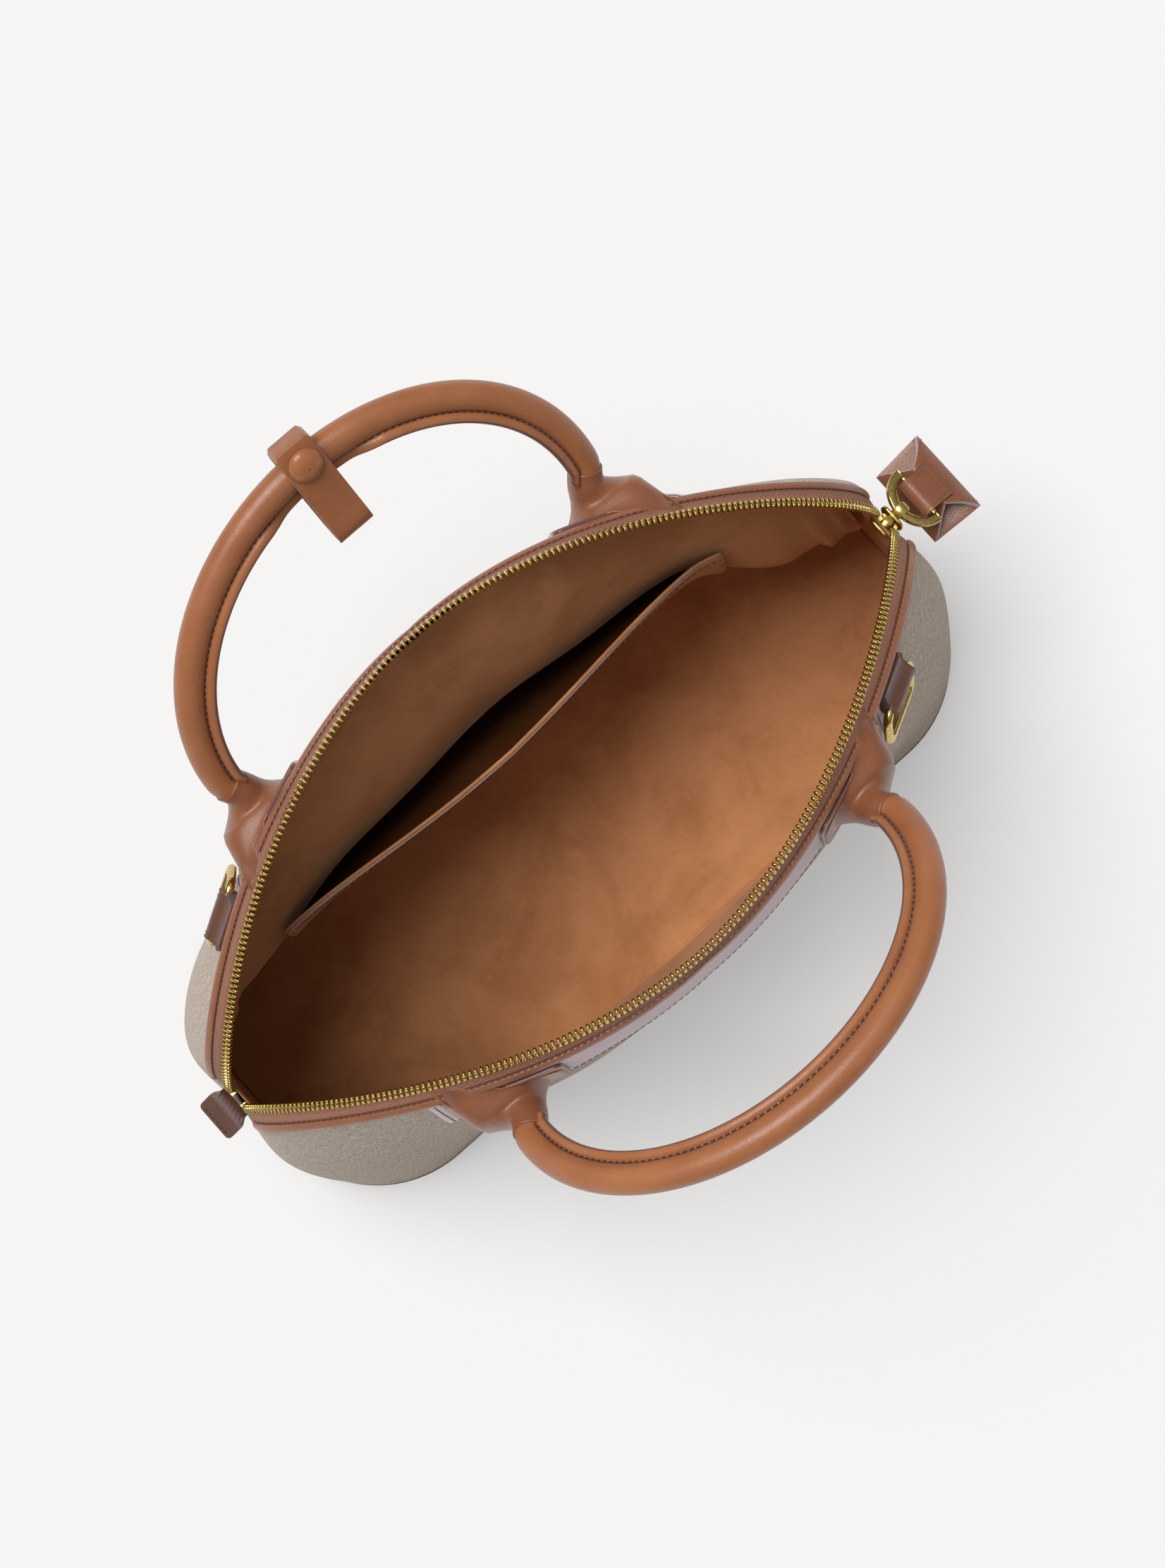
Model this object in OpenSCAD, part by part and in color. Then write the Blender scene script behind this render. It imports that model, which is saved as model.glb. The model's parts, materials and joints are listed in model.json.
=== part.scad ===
// Zip-top doctor bag with an open mouth, two rolled handles and a flared zip pull.
// +X points to the slider end, -Y is the front, +Z is up, and the origin is the
// middle of the base on the floor. All lengths are in millimetres.

/* [Body] */
// Length of the body at the base
body_length = 410; // [360:1:460]
// Depth of the body at the base
body_depth = 164; // [150:1:190]
// Radius of the base corners in plan
base_corner_r = 60; // [45:1:70]
// How far the sides belly out at half height
side_bulge = 9; // [4:0.5:14]
// Thickness of the canvas shell
canvas_t = 1.6; // [1.2:0.1:2.5]
// Thickness of the base panel
base_t = 2; // [1.5:0.1:3]
// Thickness of the stiff board inside the base
board_t = 2; // [1.5:0.1:3]
// Thickness of the suede lining
lining_t = 1; // [0.8:0.1:1.6]
// Free space between the shell and the lining
lining_gap = 2.5; // [2:0.1:4]

/* [Mouth] */
// Height of the tooth rows at the middle of the mouth
mouth_height = 235; // [215:1:260]
// Height of the tooth rows at the two tips
tip_height = 128; // [110:1:140]
// Length of the mouth from tip to tip
mouth_length = 380; // [340:1:400]
// Width of the open mouth between the tooth rows
mouth_width = 174; // [150:1:180]
// Space between the tooth rows at the tips
tip_width = 14; // [10:1:20]
// Exposed width of the zip tape
tape_w = 7.5; // [6:0.5:9]
// Thickness of the zip tape
tape_t = 1; // [0.8:0.1:1.4]
// Pitch of the zip teeth
tooth_pitch = 2.67; // [2.5:0.01:4]
// Size of one tooth across the tape
tooth_len = 4.2; // [3.5:0.1:5]
// Height of one tooth over both faces of the tape
tooth_h = 2.8; // [2.4:0.1:3.4]

/* [Trim] */
// Width of the edge binding
binding_w = 4; // [3:0.1:5]
// Thickness of the edge binding
binding_t = 3; // [2.6:0.1:4]
// Height of the leather band below the binding
band_h = 44; // [36:1:56]
// Thickness of the leather band
band_t = 1.4; // [1:0.1:2]
// How far the band runs past a handle patch
band_past = 5.6; // [3:0.1:6]

/* [Handles] */
// Diameter of the rolled handle tube
handle_d = 13; // [11:0.5:15]
// Width of the arch between the tube centres
handle_w = 199; // [190:1:212]
// Height of the arch from its hinge line to the tube centre
handle_h = 106; // [90:1:125]
// Distance between the two feet of a handle
handle_foot_w = 184; // [176:1:190]
// Length of the free leg below the round part of the arch
handle_leg = 18; // [16:1:26]
// Width of a flared handle foot
foot_w = 38; // [30:1:42]
// Height of the hinge line above the floor
handle_z = 203; // [196:1:206]
// Lean of the front handle from upright
front_lean = 41.5; // [32:0.5:60]
// Lean of the back handle from upright
back_lean = 44.5; // [32:0.5:60]
// How far the back handle slumps sideways for each millimetre of height
back_sway = 0.1; // [0:0.01:0.12]
// Thickness of the stitched seam flange on the inner side of the arch
flange_t = 2.4; // [1.8:0.1:3]
// Reach of the seam flange beyond the tube
flange_w = 4.5; // [3:0.1:5]
// Diameter of the cord core in the handle
core_d = 8; // [6:0.5:9]
// Width of a handle patch
patch_w = 47; // [42:1:50]
// Height of a handle patch
patch_h = 36; // [28:1:40]
// Thickness of a handle patch
patch_t = 1.6; // [1.2:0.1:2]

/* [Snap tab] */
// Width of the snap tab strap
tab_w = 17; // [15:0.5:20]
// Length of the snap tab
tab_len = 51; // [44:1:56]
// Thickness of the strap leather
tab_t = 1.8; // [1.4:0.1:2.2]
// Distance of the strap along the handle from its middle
tab_x = 2; // [-8:1:20]
// Diameter of the leather-covered cap
cap_d = 14.5; // [13:0.5:16]
// Height of the domed cap
cap_h = 4; // [3:0.1:5]
// Diameter of the snap stud under the strap
stud_d = 8; // [6:0.5:9]
// Length of the snap stud
stud_h = 3.6; // [3:0.1:4.5]

/* [Strap rings] */
// Outer width of a strap ring
ring_w = 33; // [30:0.5:38]
// Outer height of a strap ring
ring_h = 24; // [20:0.5:28]
// Diameter of the ring wire
wire_d = 4; // [3.4:0.1:4.4]
// Length of the leather keeper
keeper_w = 22; // [18:0.5:24]
// Thickness of the keeper leather
keeper_t = 1.6; // [1.2:0.1:2]
// Free length of the bag between a handle patch and the strap ring beside it
ring_gap = 2.5; // [2:0.1:6]

/* [Zip slider and pull] */
// Width of the slider plates
slider_w = 13; // [11:0.5:14]
// Height of the slider plates
slider_h = 13; // [12:0.5:15]
// Thickness of each slider plate
slider_t = 1.6; // [1.3:0.1:2]
// Outer diameter of the pull ring
pull_ring_d = 30; // [27:0.5:32]
// Width of the flat band of the pull ring
pull_ring_band = 4.6; // [3.5:0.1:5]
// Thickness of the pull ring
pull_ring_t = 2.6; // [2:0.1:3]
// Width of the pull strap where it wraps the ring
pull_neck_w = 18; // [15:0.5:18.5]
// Width of the pull at its outer fold
pull_fold_w = 42; // [36:0.5:46]
// Thickness of the pull leather
pull_t = 2; // [1.6:0.1:2.4]
// Slope of the zip pull below level
pull_droop = 24; // [18:1:30]

/* [Zip end tab] */
// Width of the leather tab on the closed zip end
end_tab_w = 20; // [17:0.5:22]
// Length of the leather tab on the closed zip end
end_tab_len = 17; // [14:0.5:20]
// Thickness of the folded end tab
end_tab_t = 4; // [3.4:0.1:5]

/* [Pocket] */
// Width of the slip pocket
pocket_w = 246; // [200:1:250]
// Height of the slip pocket's mouth above the floor
pocket_top = 150; // [130:1:160]
// How far the pocket's mouth bows forward
pocket_bow = 20; // [12:1:24]
// Thickness of the pocket leather
pocket_t = 1.6; // [1.2:0.1:2]
// How far the slack lining sags in from the back wall
lining_sag = 35; // [0:1:42]

/* [Hidden] */

canvas_color = [0.80, 0.73, 0.65];
leather_color = [0.65, 0.37, 0.21];
dark_leather = [0.42, 0.23, 0.15];
suede_color = [0.62, 0.40, 0.27];
gold_color = [0.83, 0.68, 0.33];
tape_color = [0.66, 0.40, 0.29];

FRONT = -1;
BACK = 1;
GAP = 0.3;                    // clearance between pieces that move
LIP = 0.1;                    // clearance between sewn layers
STEPS = 44;                   // stations along the mouth
LEVELS = 9;                   // levels from the base to the mouth
smooth = 40;

// ---- small helpers -------------------------------------------------------
function unit(a) = a / norm(a);
function lerp(a, b, k) = a + (b - a) * k;
function steps(n) = [for (i = [0:n]) i / n];

// A closed slab between an outer and an inner grid of points.
module slab(outer, inner) {
  n = len(outer);
  m = len(outer[0]);
  pts = concat([for (r = outer) each r], [for (r = inner) each r]);
  o = n * m;
  faces = concat(
    [for (i = [0:n-2], j = [0:m-2], k = [0, 1]) k == 0
      ? [i*m+j, (i+1)*m+j, (i+1)*m+j+1] : [i*m+j, (i+1)*m+j+1, i*m+j+1]],
    [for (i = [0:n-2], j = [0:m-2], k = [0, 1]) k == 0
      ? [o+i*m+j, o+(i+1)*m+j+1, o+(i+1)*m+j] : [o+i*m+j, o+i*m+j+1, o+(i+1)*m+j+1]],
    [for (i = [0:n-2], k = [0, 1]) k == 0
      ? [i*m, o+i*m, o+(i+1)*m] : [i*m, o+(i+1)*m, (i+1)*m]],
    [for (i = [0:n-2], k = [0, 1]) let (t = m-1) k == 0
      ? [i*m+t, o+(i+1)*m+t, o+i*m+t] : [i*m+t, (i+1)*m+t, o+(i+1)*m+t]],
    [for (j = [0:m-2], k = [0, 1]) k == 0
      ? [j, j+1, o+j+1] : [j, o+j+1, o+j]],
    [for (j = [0:m-2], k = [0, 1]) let (t = (n-1)*m) k == 0
      ? [t+j, o+t+j+1, t+j+1] : [t+j, o+t+j, o+t+j+1]]);
  polyhedron(pts, faces, convexity = 6);
}

// A slab whose two sides are the same for front and back: the grid is mirrored for the front.
module side_slab(side, outer, inner) {
  if (side == BACK) slab(inner, outer);
  else mirror([0, 1, 0]) slab(inner, outer);
}

// A solid swept through a list of rings of points.
module swept(rings) {
  n = len(rings);
  m = len(rings[0]);
  pts = [for (r = rings) each r];
  faces = concat(
    [[for (j = [0:m-1]) j]],
    [for (i = [0:n-2], j = [0:m-1], k = [0, 1]) let (q = (j+1) % m) k == 0
      ? [i*m+j, (i+1)*m+j, (i+1)*m+q] : [i*m+j, (i+1)*m+q, i*m+q]],
    [[for (j = [m-1:-1:0]) (n-1)*m+j]]);
  polyhedron(pts, faces, convexity = 6);
}

// ---- the shape of the bag, for the back half (y > 0) ---------------------
half_mouth = mouth_length / 2;
rim_drop = mouth_height - tip_height;
rim_shape = 1.85;             // how the open mouth narrows toward the tips

// Tooth line: u runs from -1 at the closed tip to 1 at the slider tip.
function tooth_line(u) = let (s = sin(90 * u), c = cos(90 * u))
  [half_mouth * s,
   tip_width / 2 + (mouth_width - tip_width) / 2 * (1 - pow(abs(s), rim_shape)),
   tip_height + rim_drop * c];
function tooth_dir(u) = unit(tooth_line(min(u + 0.004, 1)) - tooth_line(max(u - 0.004, -1)));
function plan_dir(u) = let (d = tooth_dir(u)) unit([d[0], d[1]]);
function plan_out(u) = let (d = plan_dir(u)) unit([-d[1] * (1 - pow(abs(u), 6)), d[0]]);

// The tape stands nearly upright at the middle and lies flatter toward the tips.
tape_up_mid = 72;
tape_up_tip = 14;
function tape_angle(u) = lerp(tape_up_mid, tape_up_tip, pow(abs(u), 0.8));
function tape_down(u) = let (a = tape_angle(u), o = plan_out(u))
  [cos(a) * o[0], cos(a) * o[1], -sin(a)];
// At the tips the tape tucks in under the panels, which meet there.
function edge_line(u) = tooth_line(u) + tape_w * (1 - 0.98 * pow(abs(u), 14)) * tape_down(u);

// Base outline: a rectangle with round corners, as a share of half its length.
base_x = body_length / 2 - base_corner_r;
base_y = body_depth / 2 - base_corner_r;
base_arc = base_corner_r * PI / 2;
base_run = base_x + base_arc + base_y;
function base_half(s, inset) = let (r = base_corner_r - inset)
  s < base_x ? [s, base_y + r]
  : s < base_x + base_arc
    ? let (a = (s - base_x) / base_arc * 90) [base_x + r * sin(a), base_y + r * cos(a)]
    : [base_x + r, base_y - (s - base_x - base_arc)];
function base_line(u, inset = 0) = let (p = base_half(abs(u) * base_run, inset))
  [u < 0 ? -p[0] : p[0], p[1], 0];

// The side surface: v runs from 0 at the base to 1 at the mouth's edge.
function side_pt(u, v) = let (
    b = base_line(u), e = edge_line(u), late = pow(v, 1 + 6 * pow(abs(u), 12)),
    m = [lerp(b[0], e[0], v), lerp(b[1], e[1], late), e[2] * v],
    o = unit([b[0] / body_length * (abs(u) < 0.999 ? 1 : 2), b[1] / body_depth]),
    g = side_bulge * sin(180 * pow(v, 1.15)) * (1 - 0.75 * pow(abs(u), 3)))
  [m[0] + g * o[0], m[1] + g * o[1], m[2]];
function side_normal(u, v) = let (
    a = side_pt(min(u + 0.01, 1), v) - side_pt(max(u - 0.01, -1), v),
    c = side_pt(u, min(v + 0.01, 1)) - side_pt(u, max(v - 0.01, 0)))
  unit(cross(c, a));
// A point d inside the side surface.
function side_at(u, v, d) = side_pt(u, v) - d * side_normal(u, v);
function side_grid(us, vs, d) = [for (u = us) [for (v = vs) side_at(u, v, d)]];
function edge_z(u) = edge_line(u)[2];
// The value of v at height z.
function v_at(u, z) = z / edge_z(u);

// The seam between the front and back halves lies this far from y = 0.
seam_u = 0.997;
// The panel ends a little below the edge line, where the binding takes over. The drop is
// measured square to the edge, so it grows in height where the edge falls steeply.
edge_drop = 2.5;
most_drop = 7.5;
seam_drop = 0.6;
function level_part(u) = let (d = tooth_dir(u)) norm([d[0], d[1]]);
function panel_drop(u) = lerp(min(most_drop, edge_drop / level_part(u)), seam_drop, pow(abs(u) / seam_u, 30));
function panel_grid(d) = [for (k = steps(STEPS)) let (u = lerp(-seam_u, seam_u, k))
  [for (j = steps(LEVELS)) let (
      z = lerp(base_t + LIP, edge_z(u) - panel_drop(u), j), p = side_at(u, v_at(u, z), d))
    [p[0], max(p[1], LIP / 2), p[2]]]];

module panel(side) {
  color(canvas_color) side_slab(side, panel_grid(0), panel_grid(canvas_t));
}
module front_panel() panel(FRONT);
module back_panel() panel(BACK);

board_gap = 1;                // between the stiffening board and the canvas around it
module base_outline(inset) {
  r = base_corner_r - inset;
  hull() for (x = [-base_x, base_x], y = [-base_y, base_y]) translate([x, y]) circle(r, $fn = 64);
}
module base_panel() color(dark_leather) linear_extrude(base_t) base_outline(0);
module base_board() color("tan") translate([0, 0, base_t + LIP])
  linear_extrude(board_t) base_outline(canvas_t + board_gap);

// ---- lining and pocket ---------------------------------------------------
lining_floor = base_t + board_t + 2 * LIP;
lining_top = 0.955;
lining_low = 0.06;            // where the lining turns into its floor
lining_turn = 3;              // how far the floor's edge stands in from the wall
tip_dip = 0.04;               // the lining ends lower at the tips, clear of the stops
function lining_pt(u, v, d) = let (
    p = side_at(u, v * (1 - tip_dip * pow(abs(u), 8)), canvas_t + lining_gap + d))
  [p[0], max(p[1], LIP / 2 + d), p[2]];
// The slack back wall of the lining hangs in a curve, furthest in above half its height.
function slack(u, v) = let (w = min(1, v / lining_top))
  lining_sag * pow(1 - u * u, 1.2) * pow(sin(180 * pow(w, 1.35)), 1.2);
function back_lining(u, v, d) = lining_pt(u, v, d) - [0, slack(u, v), 0];
function lining_ring(v, d) = concat(
  [for (k = [0:STEPS]) back_lining(lerp(-seam_u, seam_u, k / STEPS), v, d)],
  [for (k = [0:STEPS]) let (p = lining_pt(lerp(seam_u, -seam_u, k / STEPS), v, d))
    [p[0], -p[1], p[2]]]);
function at_height(ring, z) = [for (p = ring) [p[0], p[1], z]];
module lining() color(suede_color) {
  vs = [for (j = [0:LEVELS - 1]) lerp(lining_low, lining_top, j / (LEVELS - 1))];
  outer = concat([at_height(lining_ring(lining_low, lining_turn), lining_floor)],
    [for (v = vs) lining_ring(v, 0)]);
  inner = concat([for (j = [len(vs) - 1:-1:0]) lining_ring(vs[j], lining_t)],
    [at_height(lining_ring(lining_low, lining_turn + lining_t), lining_floor + lining_t)]);
  swept_open_cup(concat(outer, inner));
}
// A cup: the rings go up the outside and down the inside, and both ends are closed flat.
module swept_open_cup(rings) {
  n = len(rings);
  m = len(rings[0]);
  pts = [for (r = rings) each r];
  faces = concat(
    [[for (j = [m-1:-1:0]) j]],
    [for (i = [0:n-2], j = [0:m-1], k = [0, 1]) let (q = (j+1) % m) k == 0
      ? [i*m+j, (i+1)*m+q, (i+1)*m+j] : [i*m+j, i*m+q, (i+1)*m+q]],
    [[for (j = [0:m-1]) (n-1)*m+j]]);
  polyhedron(pts, faces, convexity = 8);
}

// The pocket hangs on the back wall and its mouth bows forward.
pocket_low = 48;
pocket_trim_h = 6;
function pocket_u(k) = let (x = lerp(-pocket_w / 2, pocket_w / 2, k)) asin(x / half_mouth) / 90;
function pocket_pt(k, z, d) = let (
    u = pocket_u(k), w = back_lining(u, v_at(u, z), lining_t + GAP),
    rise = max(0, (z - pocket_low) / (pocket_top - pocket_low)),
    bow = (pocket_bow * sin(180 * k) + 1.5) * pow(rise, 1.5))
  [w[0], w[1] - bow - d, z];
function pocket_grid(zs, d) = [for (k = steps(24)) [for (z = zs) pocket_pt(k, z, d)]];
module pocket_slab(zs, d0, d1) side_slab(BACK, pocket_grid(zs, d0), pocket_grid(zs, d1));
trim_low = pocket_top - pocket_trim_h;
pocket_levels = concat([for (j = steps(5)) lerp(pocket_low, trim_low, j)], [pocket_top]);
module pocket_panel() color(suede_color) pocket_slab(pocket_levels, 0, pocket_t);
module pocket_trim() color(leather_color)
  pocket_slab([trim_low, pocket_top], pocket_t + LIP, pocket_t + LIP + 1);

// ---- bands, binding, tape and teeth --------------------------------------
band_steps = 32;
band_share = mouth_u((handle_foot_w + patch_w) / 2 + band_past);
under_binding = 3;            // what is sewn on starts this far below the panel's edge
function strip_pt(u, down, d) = side_at(u, v_at(u, edge_z(u) - under_binding - down), d);
function band_grid(d) = [for (k = steps(band_steps)) let (u = lerp(-band_share, band_share, k))
  [for (j = steps(4)) strip_pt(u, lerp(band_h, 0, j), d)]];
module band(side) color(leather_color) side_slab(side, band_grid(-LIP - band_t), band_grid(-LIP));
module front_band() band(FRONT);
module back_band() band(BACK);

binding_share = 0.9;
// Cross-section of the binding: a rounded strip over the edge, across and along the tape.
function binding_ring(u) = let (e = edge_line(u), a = -tape_down(u),
    t = tooth_dir(u), n = unit(cross(t, a)),
    w = binding_w / 2, h = binding_t / 2)
  [for (q = [[-w, -0.6 * h], [-0.7 * w, -h], [0.7 * w, -h], [w, -0.6 * h],
             [w, 0.6 * h], [0.7 * w, h], [-0.7 * w, h], [-w, 0.6 * h]])
    e + a * q[0] + n * q[1]];
module binding(side) color(leather_color) mirror([0, side == BACK ? 0 : 1, 0])
  swept([for (k = steps(STEPS)) binding_ring(lerp(-binding_share, binding_share, k))]);
module front_binding() binding(FRONT);
module back_binding() binding(BACK);

tape_share = 0.972;
// The tape reaches from the teeth to the binding, and narrows where the panels meet.
function tape_reach(u) = max(0.6, norm(edge_line(u) - tooth_line(u)) - binding_w / 2 - 2 * LIP);
function tape_normal(u) = unit(cross(tooth_dir(u), -tape_down(u)));
function tape_grid(d) = [for (k = steps(STEPS)) let (u = lerp(-tape_share, tape_share, k))
  [for (s = [tape_reach(u), 0]) tooth_line(u) + s * tape_down(u) + d * tape_normal(u)]];
module tape(side) color(tape_color) side_slab(side, tape_grid(tape_t / 2), tape_grid(-tape_t / 2));
module front_zip_tape() tape(FRONT);
module back_zip_tape() tape(BACK);

// Teeth at equal steps along the tooth line: the line is measured in short chords.
CHORDS = 180;
teeth_share = 0.962;
chord_u = [for (i = [0:CHORDS]) lerp(-teeth_share, teeth_share, i / CHORDS)];
chord_pts = [for (u = chord_u) tooth_line(u)];
function run_sum(i, total, out) = i > CHORDS ? out
  : run_sum(i + 1, total + norm(chord_pts[i] - chord_pts[i-1]),
      concat(out, [total + norm(chord_pts[i] - chord_pts[i-1])]));
chord_run = run_sum(1, 0, [0]);
tooth_count = floor(chord_run[CHORDS] / tooth_pitch);
function tooth_u(s, i = 1) = chord_run[i] >= s || i == CHORDS
  ? lerp(chord_u[i-1], chord_u[i], (s - chord_run[i-1]) / (chord_run[i] - chord_run[i-1]))
  : tooth_u(s, i + 1);
module at_frame(o, x, y, z) multmatrix([[x[0], y[0], z[0], o[0]], [x[1], y[1], z[1], o[1]],
  [x[2], y[2], z[2], o[2]], [0, 0, 0, 1]]) children();
module teeth(side) color(gold_color) mirror([0, side == BACK ? 0 : 1, 0])
  for (i = [0:tooth_count - 1]) {
    u = tooth_u((i + 0.5) * tooth_pitch);
    a = -tape_down(u);
    t0 = tooth_dir(u);
    n = unit(cross(t0, a));
    t = cross(a, n);
    at_frame(tooth_line(u) + a * (LIP + tooth_len / 2), t, a, n)
      cube([tooth_pitch * 0.5, tooth_len, tooth_h], center = true);
  }
module front_zip_teeth() teeth(FRONT);
module back_zip_teeth() teeth(BACK);

// ---- zip stops and end tab -------------------------------------------------
stop_u = 0.984;
stop_l = 3;
module top_stop(side) color(gold_color)
  translate([tooth_line(-stop_u)[0], side * (tip_width / 2 - tooth_len / 2), tooth_line(-stop_u)[2]])
    cube([tooth_h, tooth_len, stop_l], center = true);
module front_top_stop() top_stop(FRONT);
module back_top_stop() top_stop(BACK);
// The slider's plates rest on the bottom stop, which stands in the slot between the panels.
bottom_stop_w = 9.4;
module bottom_stop() color(gold_color) let (t = 2 * plate_gap + slider_t)
  translate([slider_x - t / 2, -bottom_stop_w / 2, slider_z - slider_h / 2 - GAP - stop_l])
    cube([t, bottom_stop_w, stop_l]);
end_tab_droop = 40;
end_tab_r = 2.5;
end_tab_lift = 3;
module zip_end_tab() color(dark_leather)
  translate([-half_mouth - tooth_h / 2 - GAP, 0, tip_height + end_tab_lift])
    rotate([0, -end_tab_droop, 0]) mirror([1, 0, 0]) linear_extrude(end_tab_t) hull() {
      translate([0, -end_tab_w / 2]) square([1, end_tab_w]);
      for (s = [-1, 1]) translate([end_tab_len - end_tab_r, s * (end_tab_w / 2 - end_tab_r)])
        circle(end_tab_r, $fn = 32);
    }

// ---- slider, pull ring and pull strap ---------------------------------------
slider_x = half_mouth;
slider_z = tip_height + 2;    // middle of the slider plates
plate_gap = tooth_h / 2 + 1.1;   // inner face of a plate from the middle of the teeth
wedge_room = 0.7;
wedge_w = tip_width - 2 * tooth_len - 2 * wedge_room;
wedge_h = 5;
bridge_w = 5;
bridge_bore = norm([pull_ring_band, pull_ring_t]) / 2 + 0.5;
bridge_wall = 1.2;
sunk = 0.3;                   // how far joined metal parts run into each other
bridge_x = slider_x + plate_gap + slider_t + bridge_bore + bridge_wall - sunk;
bridge_z = slider_z + 2;
module across(w, r) rotate([90, 0, 0]) cylinder(h = w, r = r, center = true, $fn = smooth);
module zip_slider() color(gold_color) difference() {
  union() {
    for (x = [-plate_gap - slider_t, plate_gap])
      translate([slider_x + x, -slider_w / 2, slider_z - slider_h / 2])
        cube([slider_t, slider_w, slider_h]);
    translate([slider_x - plate_gap - sunk, -wedge_w / 2, slider_z + slider_h / 2 - wedge_h])
      cube([2 * (plate_gap + sunk), wedge_w, wedge_h]);
    translate([bridge_x, 0, bridge_z]) across(bridge_w, bridge_bore + bridge_wall);
  }
  translate([bridge_x, 0, bridge_z]) across(bridge_w + 1, bridge_bore);
}

// The pull ring is a flat D: its arc runs in the bridge, its bar carries the pull.
pull_mean = (pull_ring_d - pull_ring_band) / 2;
bar_r = 1.8;
module in_pull() translate([bridge_x, 0, bridge_z]) rotate([0, pull_droop, 0])
  translate([pull_mean, 0, 0]) children();
module pull_ring() color(gold_color) in_pull() {
  rotate([0, 0, 90]) rotate_extrude(angle = 180, $fn = 64)
    translate([pull_mean - pull_ring_band / 2, -pull_ring_t / 2]) square([pull_ring_band, pull_ring_t]);
  across(pull_ring_d - pull_ring_band, bar_r);
}
// The pull strap wraps the bar, flares out, folds over and comes back below.
sleeve_in = bar_r + GAP;
sleeve_out = sleeve_in + pull_t;
// Outline of the folded strap from its side, clockwise from the stitched seam: distance
// out from the bar, height above it, and how far the strap has flared there.
pull_outline = [[6, 2.6, 0.15], [13.5, 2.8, 0.5], [19.6, 1, 0.92], [21.4, -0.8, 1], [20.8, -3, 1],
  [15, -7.8, 0.97], [9, -12.2, 0.93], [3.4, -15.9, 0.9], [1.4, -16.4, 0.88], [0.4, -15, 0.87],
  [2, -9.5, 0.65], [4.2, -2.6, 0.3]];
function outline_in(i) = let (n = len(pull_outline),
    a = pull_outline[(i + n - 1) % n], b = pull_outline[(i + 1) % n],
    t = unit([b[0] - a[0], b[1] - a[1]])) [t[1], -t[0]];
function pull_ring_pts(k, d) = [for (i = [0:len(pull_outline) - 1])
  let (p = pull_outline[i], n = outline_in(i), w = lerp(pull_neck_w, pull_fold_w, p[2]) / 2)
  [p[0] + n[0] * d, k * w, p[1] + n[1] * d]];
pull_seam = [8, 0.9];         // length and height of the sewn part between sleeve and flare
module pull_strap() color(leather_color) in_pull() {
  difference() {
    union() {
      across(pull_neck_w, sleeve_out);
      translate([0, -pull_neck_w / 2, pull_seam[1]]) cube([pull_seam[0], pull_neck_w, pull_t]);
    }
    across(pull_neck_w + 1, sleeve_in);
  }
  pipe([for (k = [1, 0, -1]) pull_ring_pts(k, 0)], [for (k = [1, 0, -1]) pull_ring_pts(k, pull_t)]);
}

// ---- strap rings and their keepers ------------------------------------------
keeper_bore = wire_d / 2 + GAP;
keeper_r = keeper_bore + keeper_t;
keeper_lift = 0.3;            // the curved panel needs this much room under the flat keeper
keeper_down = 12;
ring_tilt = 0.83;             // the ring lies along a sloping edge and takes less of its length
ring_place = mouth_u((handle_foot_w + patch_w + ring_w * ring_tilt) / 2 + ring_gap);
ring_v = v_at(ring_place, edge_z(ring_place) - under_binding - keeper_down);
ring_n = side_normal(ring_place, ring_v);
ring_t = unit(side_pt(ring_place + 0.01, ring_v) - side_pt(ring_place - 0.01, ring_v));
ring_o = side_at(ring_place, ring_v, -keeper_r - keeper_lift);
// Local frame: x along the bar, y up the panel, z out of the panel.
module at_ring(side) rotate([0, 0, side == BACK ? 180 : 0]) mirror([0, 1, 0])
  at_frame(ring_o, ring_t, cross(ring_t, ring_n), ring_n) children();
module along(w, r) rotate([0, 90, 0]) cylinder(h = w, r = r, center = true, $fn = smooth);
module keeper(side) color(dark_leather) at_ring(side) difference() {
  union() {
    along(keeper_w, keeper_r);
    translate([-keeper_w / 2, 0, -keeper_r]) cube([keeper_w, keeper_down - 1, keeper_t]);
  }
  along(keeper_w + 1, keeper_bore);
}
ring_corner = (ring_w - wire_d - keeper_w) / 2 + 0.5;   // the bend starts where the keeper ends
module strap_ring(side) color(gold_color) at_ring(side) {
  w = (ring_w - wire_d) / 2;
  h = ring_h - wire_d;
  c = ring_corner;
  for (y = [0, -h]) translate([0, y, 0]) along(2 * (w - c), wire_d / 2);
  for (s = [-1, 1]) {
    translate([s * w, -h + c, 0]) rotate([-90, 0, 0]) cylinder(h = h - 2 * c, r = wire_d / 2, $fn = smooth);
    for (t = [0, 1]) translate([s * (w - c), t == 0 ? -c : -h + c, 0])
      rotate([0, 0, t == 0 ? (s > 0 ? 0 : 90) : (s > 0 ? 270 : 180)])
        rotate_extrude(angle = 90, $fn = smooth) translate([c, 0]) circle(d = wire_d, $fn = smooth);
  }
}
module front_ring_keeper() keeper(FRONT);
module back_ring_keeper() keeper(BACK);
module front_strap_ring() strap_ring(FRONT);
module back_strap_ring() strap_ring(BACK);

// ---- handles ----------------------------------------------------------------
hinge_r = 3;                  // half thickness of a handle foot on the hinge line
foot_wall = 1.5;              // leather of the cover where the foot is flat
foot_room = 0.9;              // clearance between a foot and its patch
tube_r = handle_d / 2;
patch_out = 2 * LIP + band_t + patch_t;
function mouth_u(x) = asin(x / half_mouth) / 90;
// The hinge line stands off so that the foot, an ellipse in plan, just clears its patch.
hinge_y = foot_room + max([for (t = [-1:0.25:1], z = [handle_z - 4, handle_z, handle_z + 4])
  let (u = mouth_u(handle_foot_w / 2 + t * foot_w / 2))
    side_at(u, v_at(u, z), -patch_out)[1] + hinge_r * sqrt(1 - t * t)]);

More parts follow.
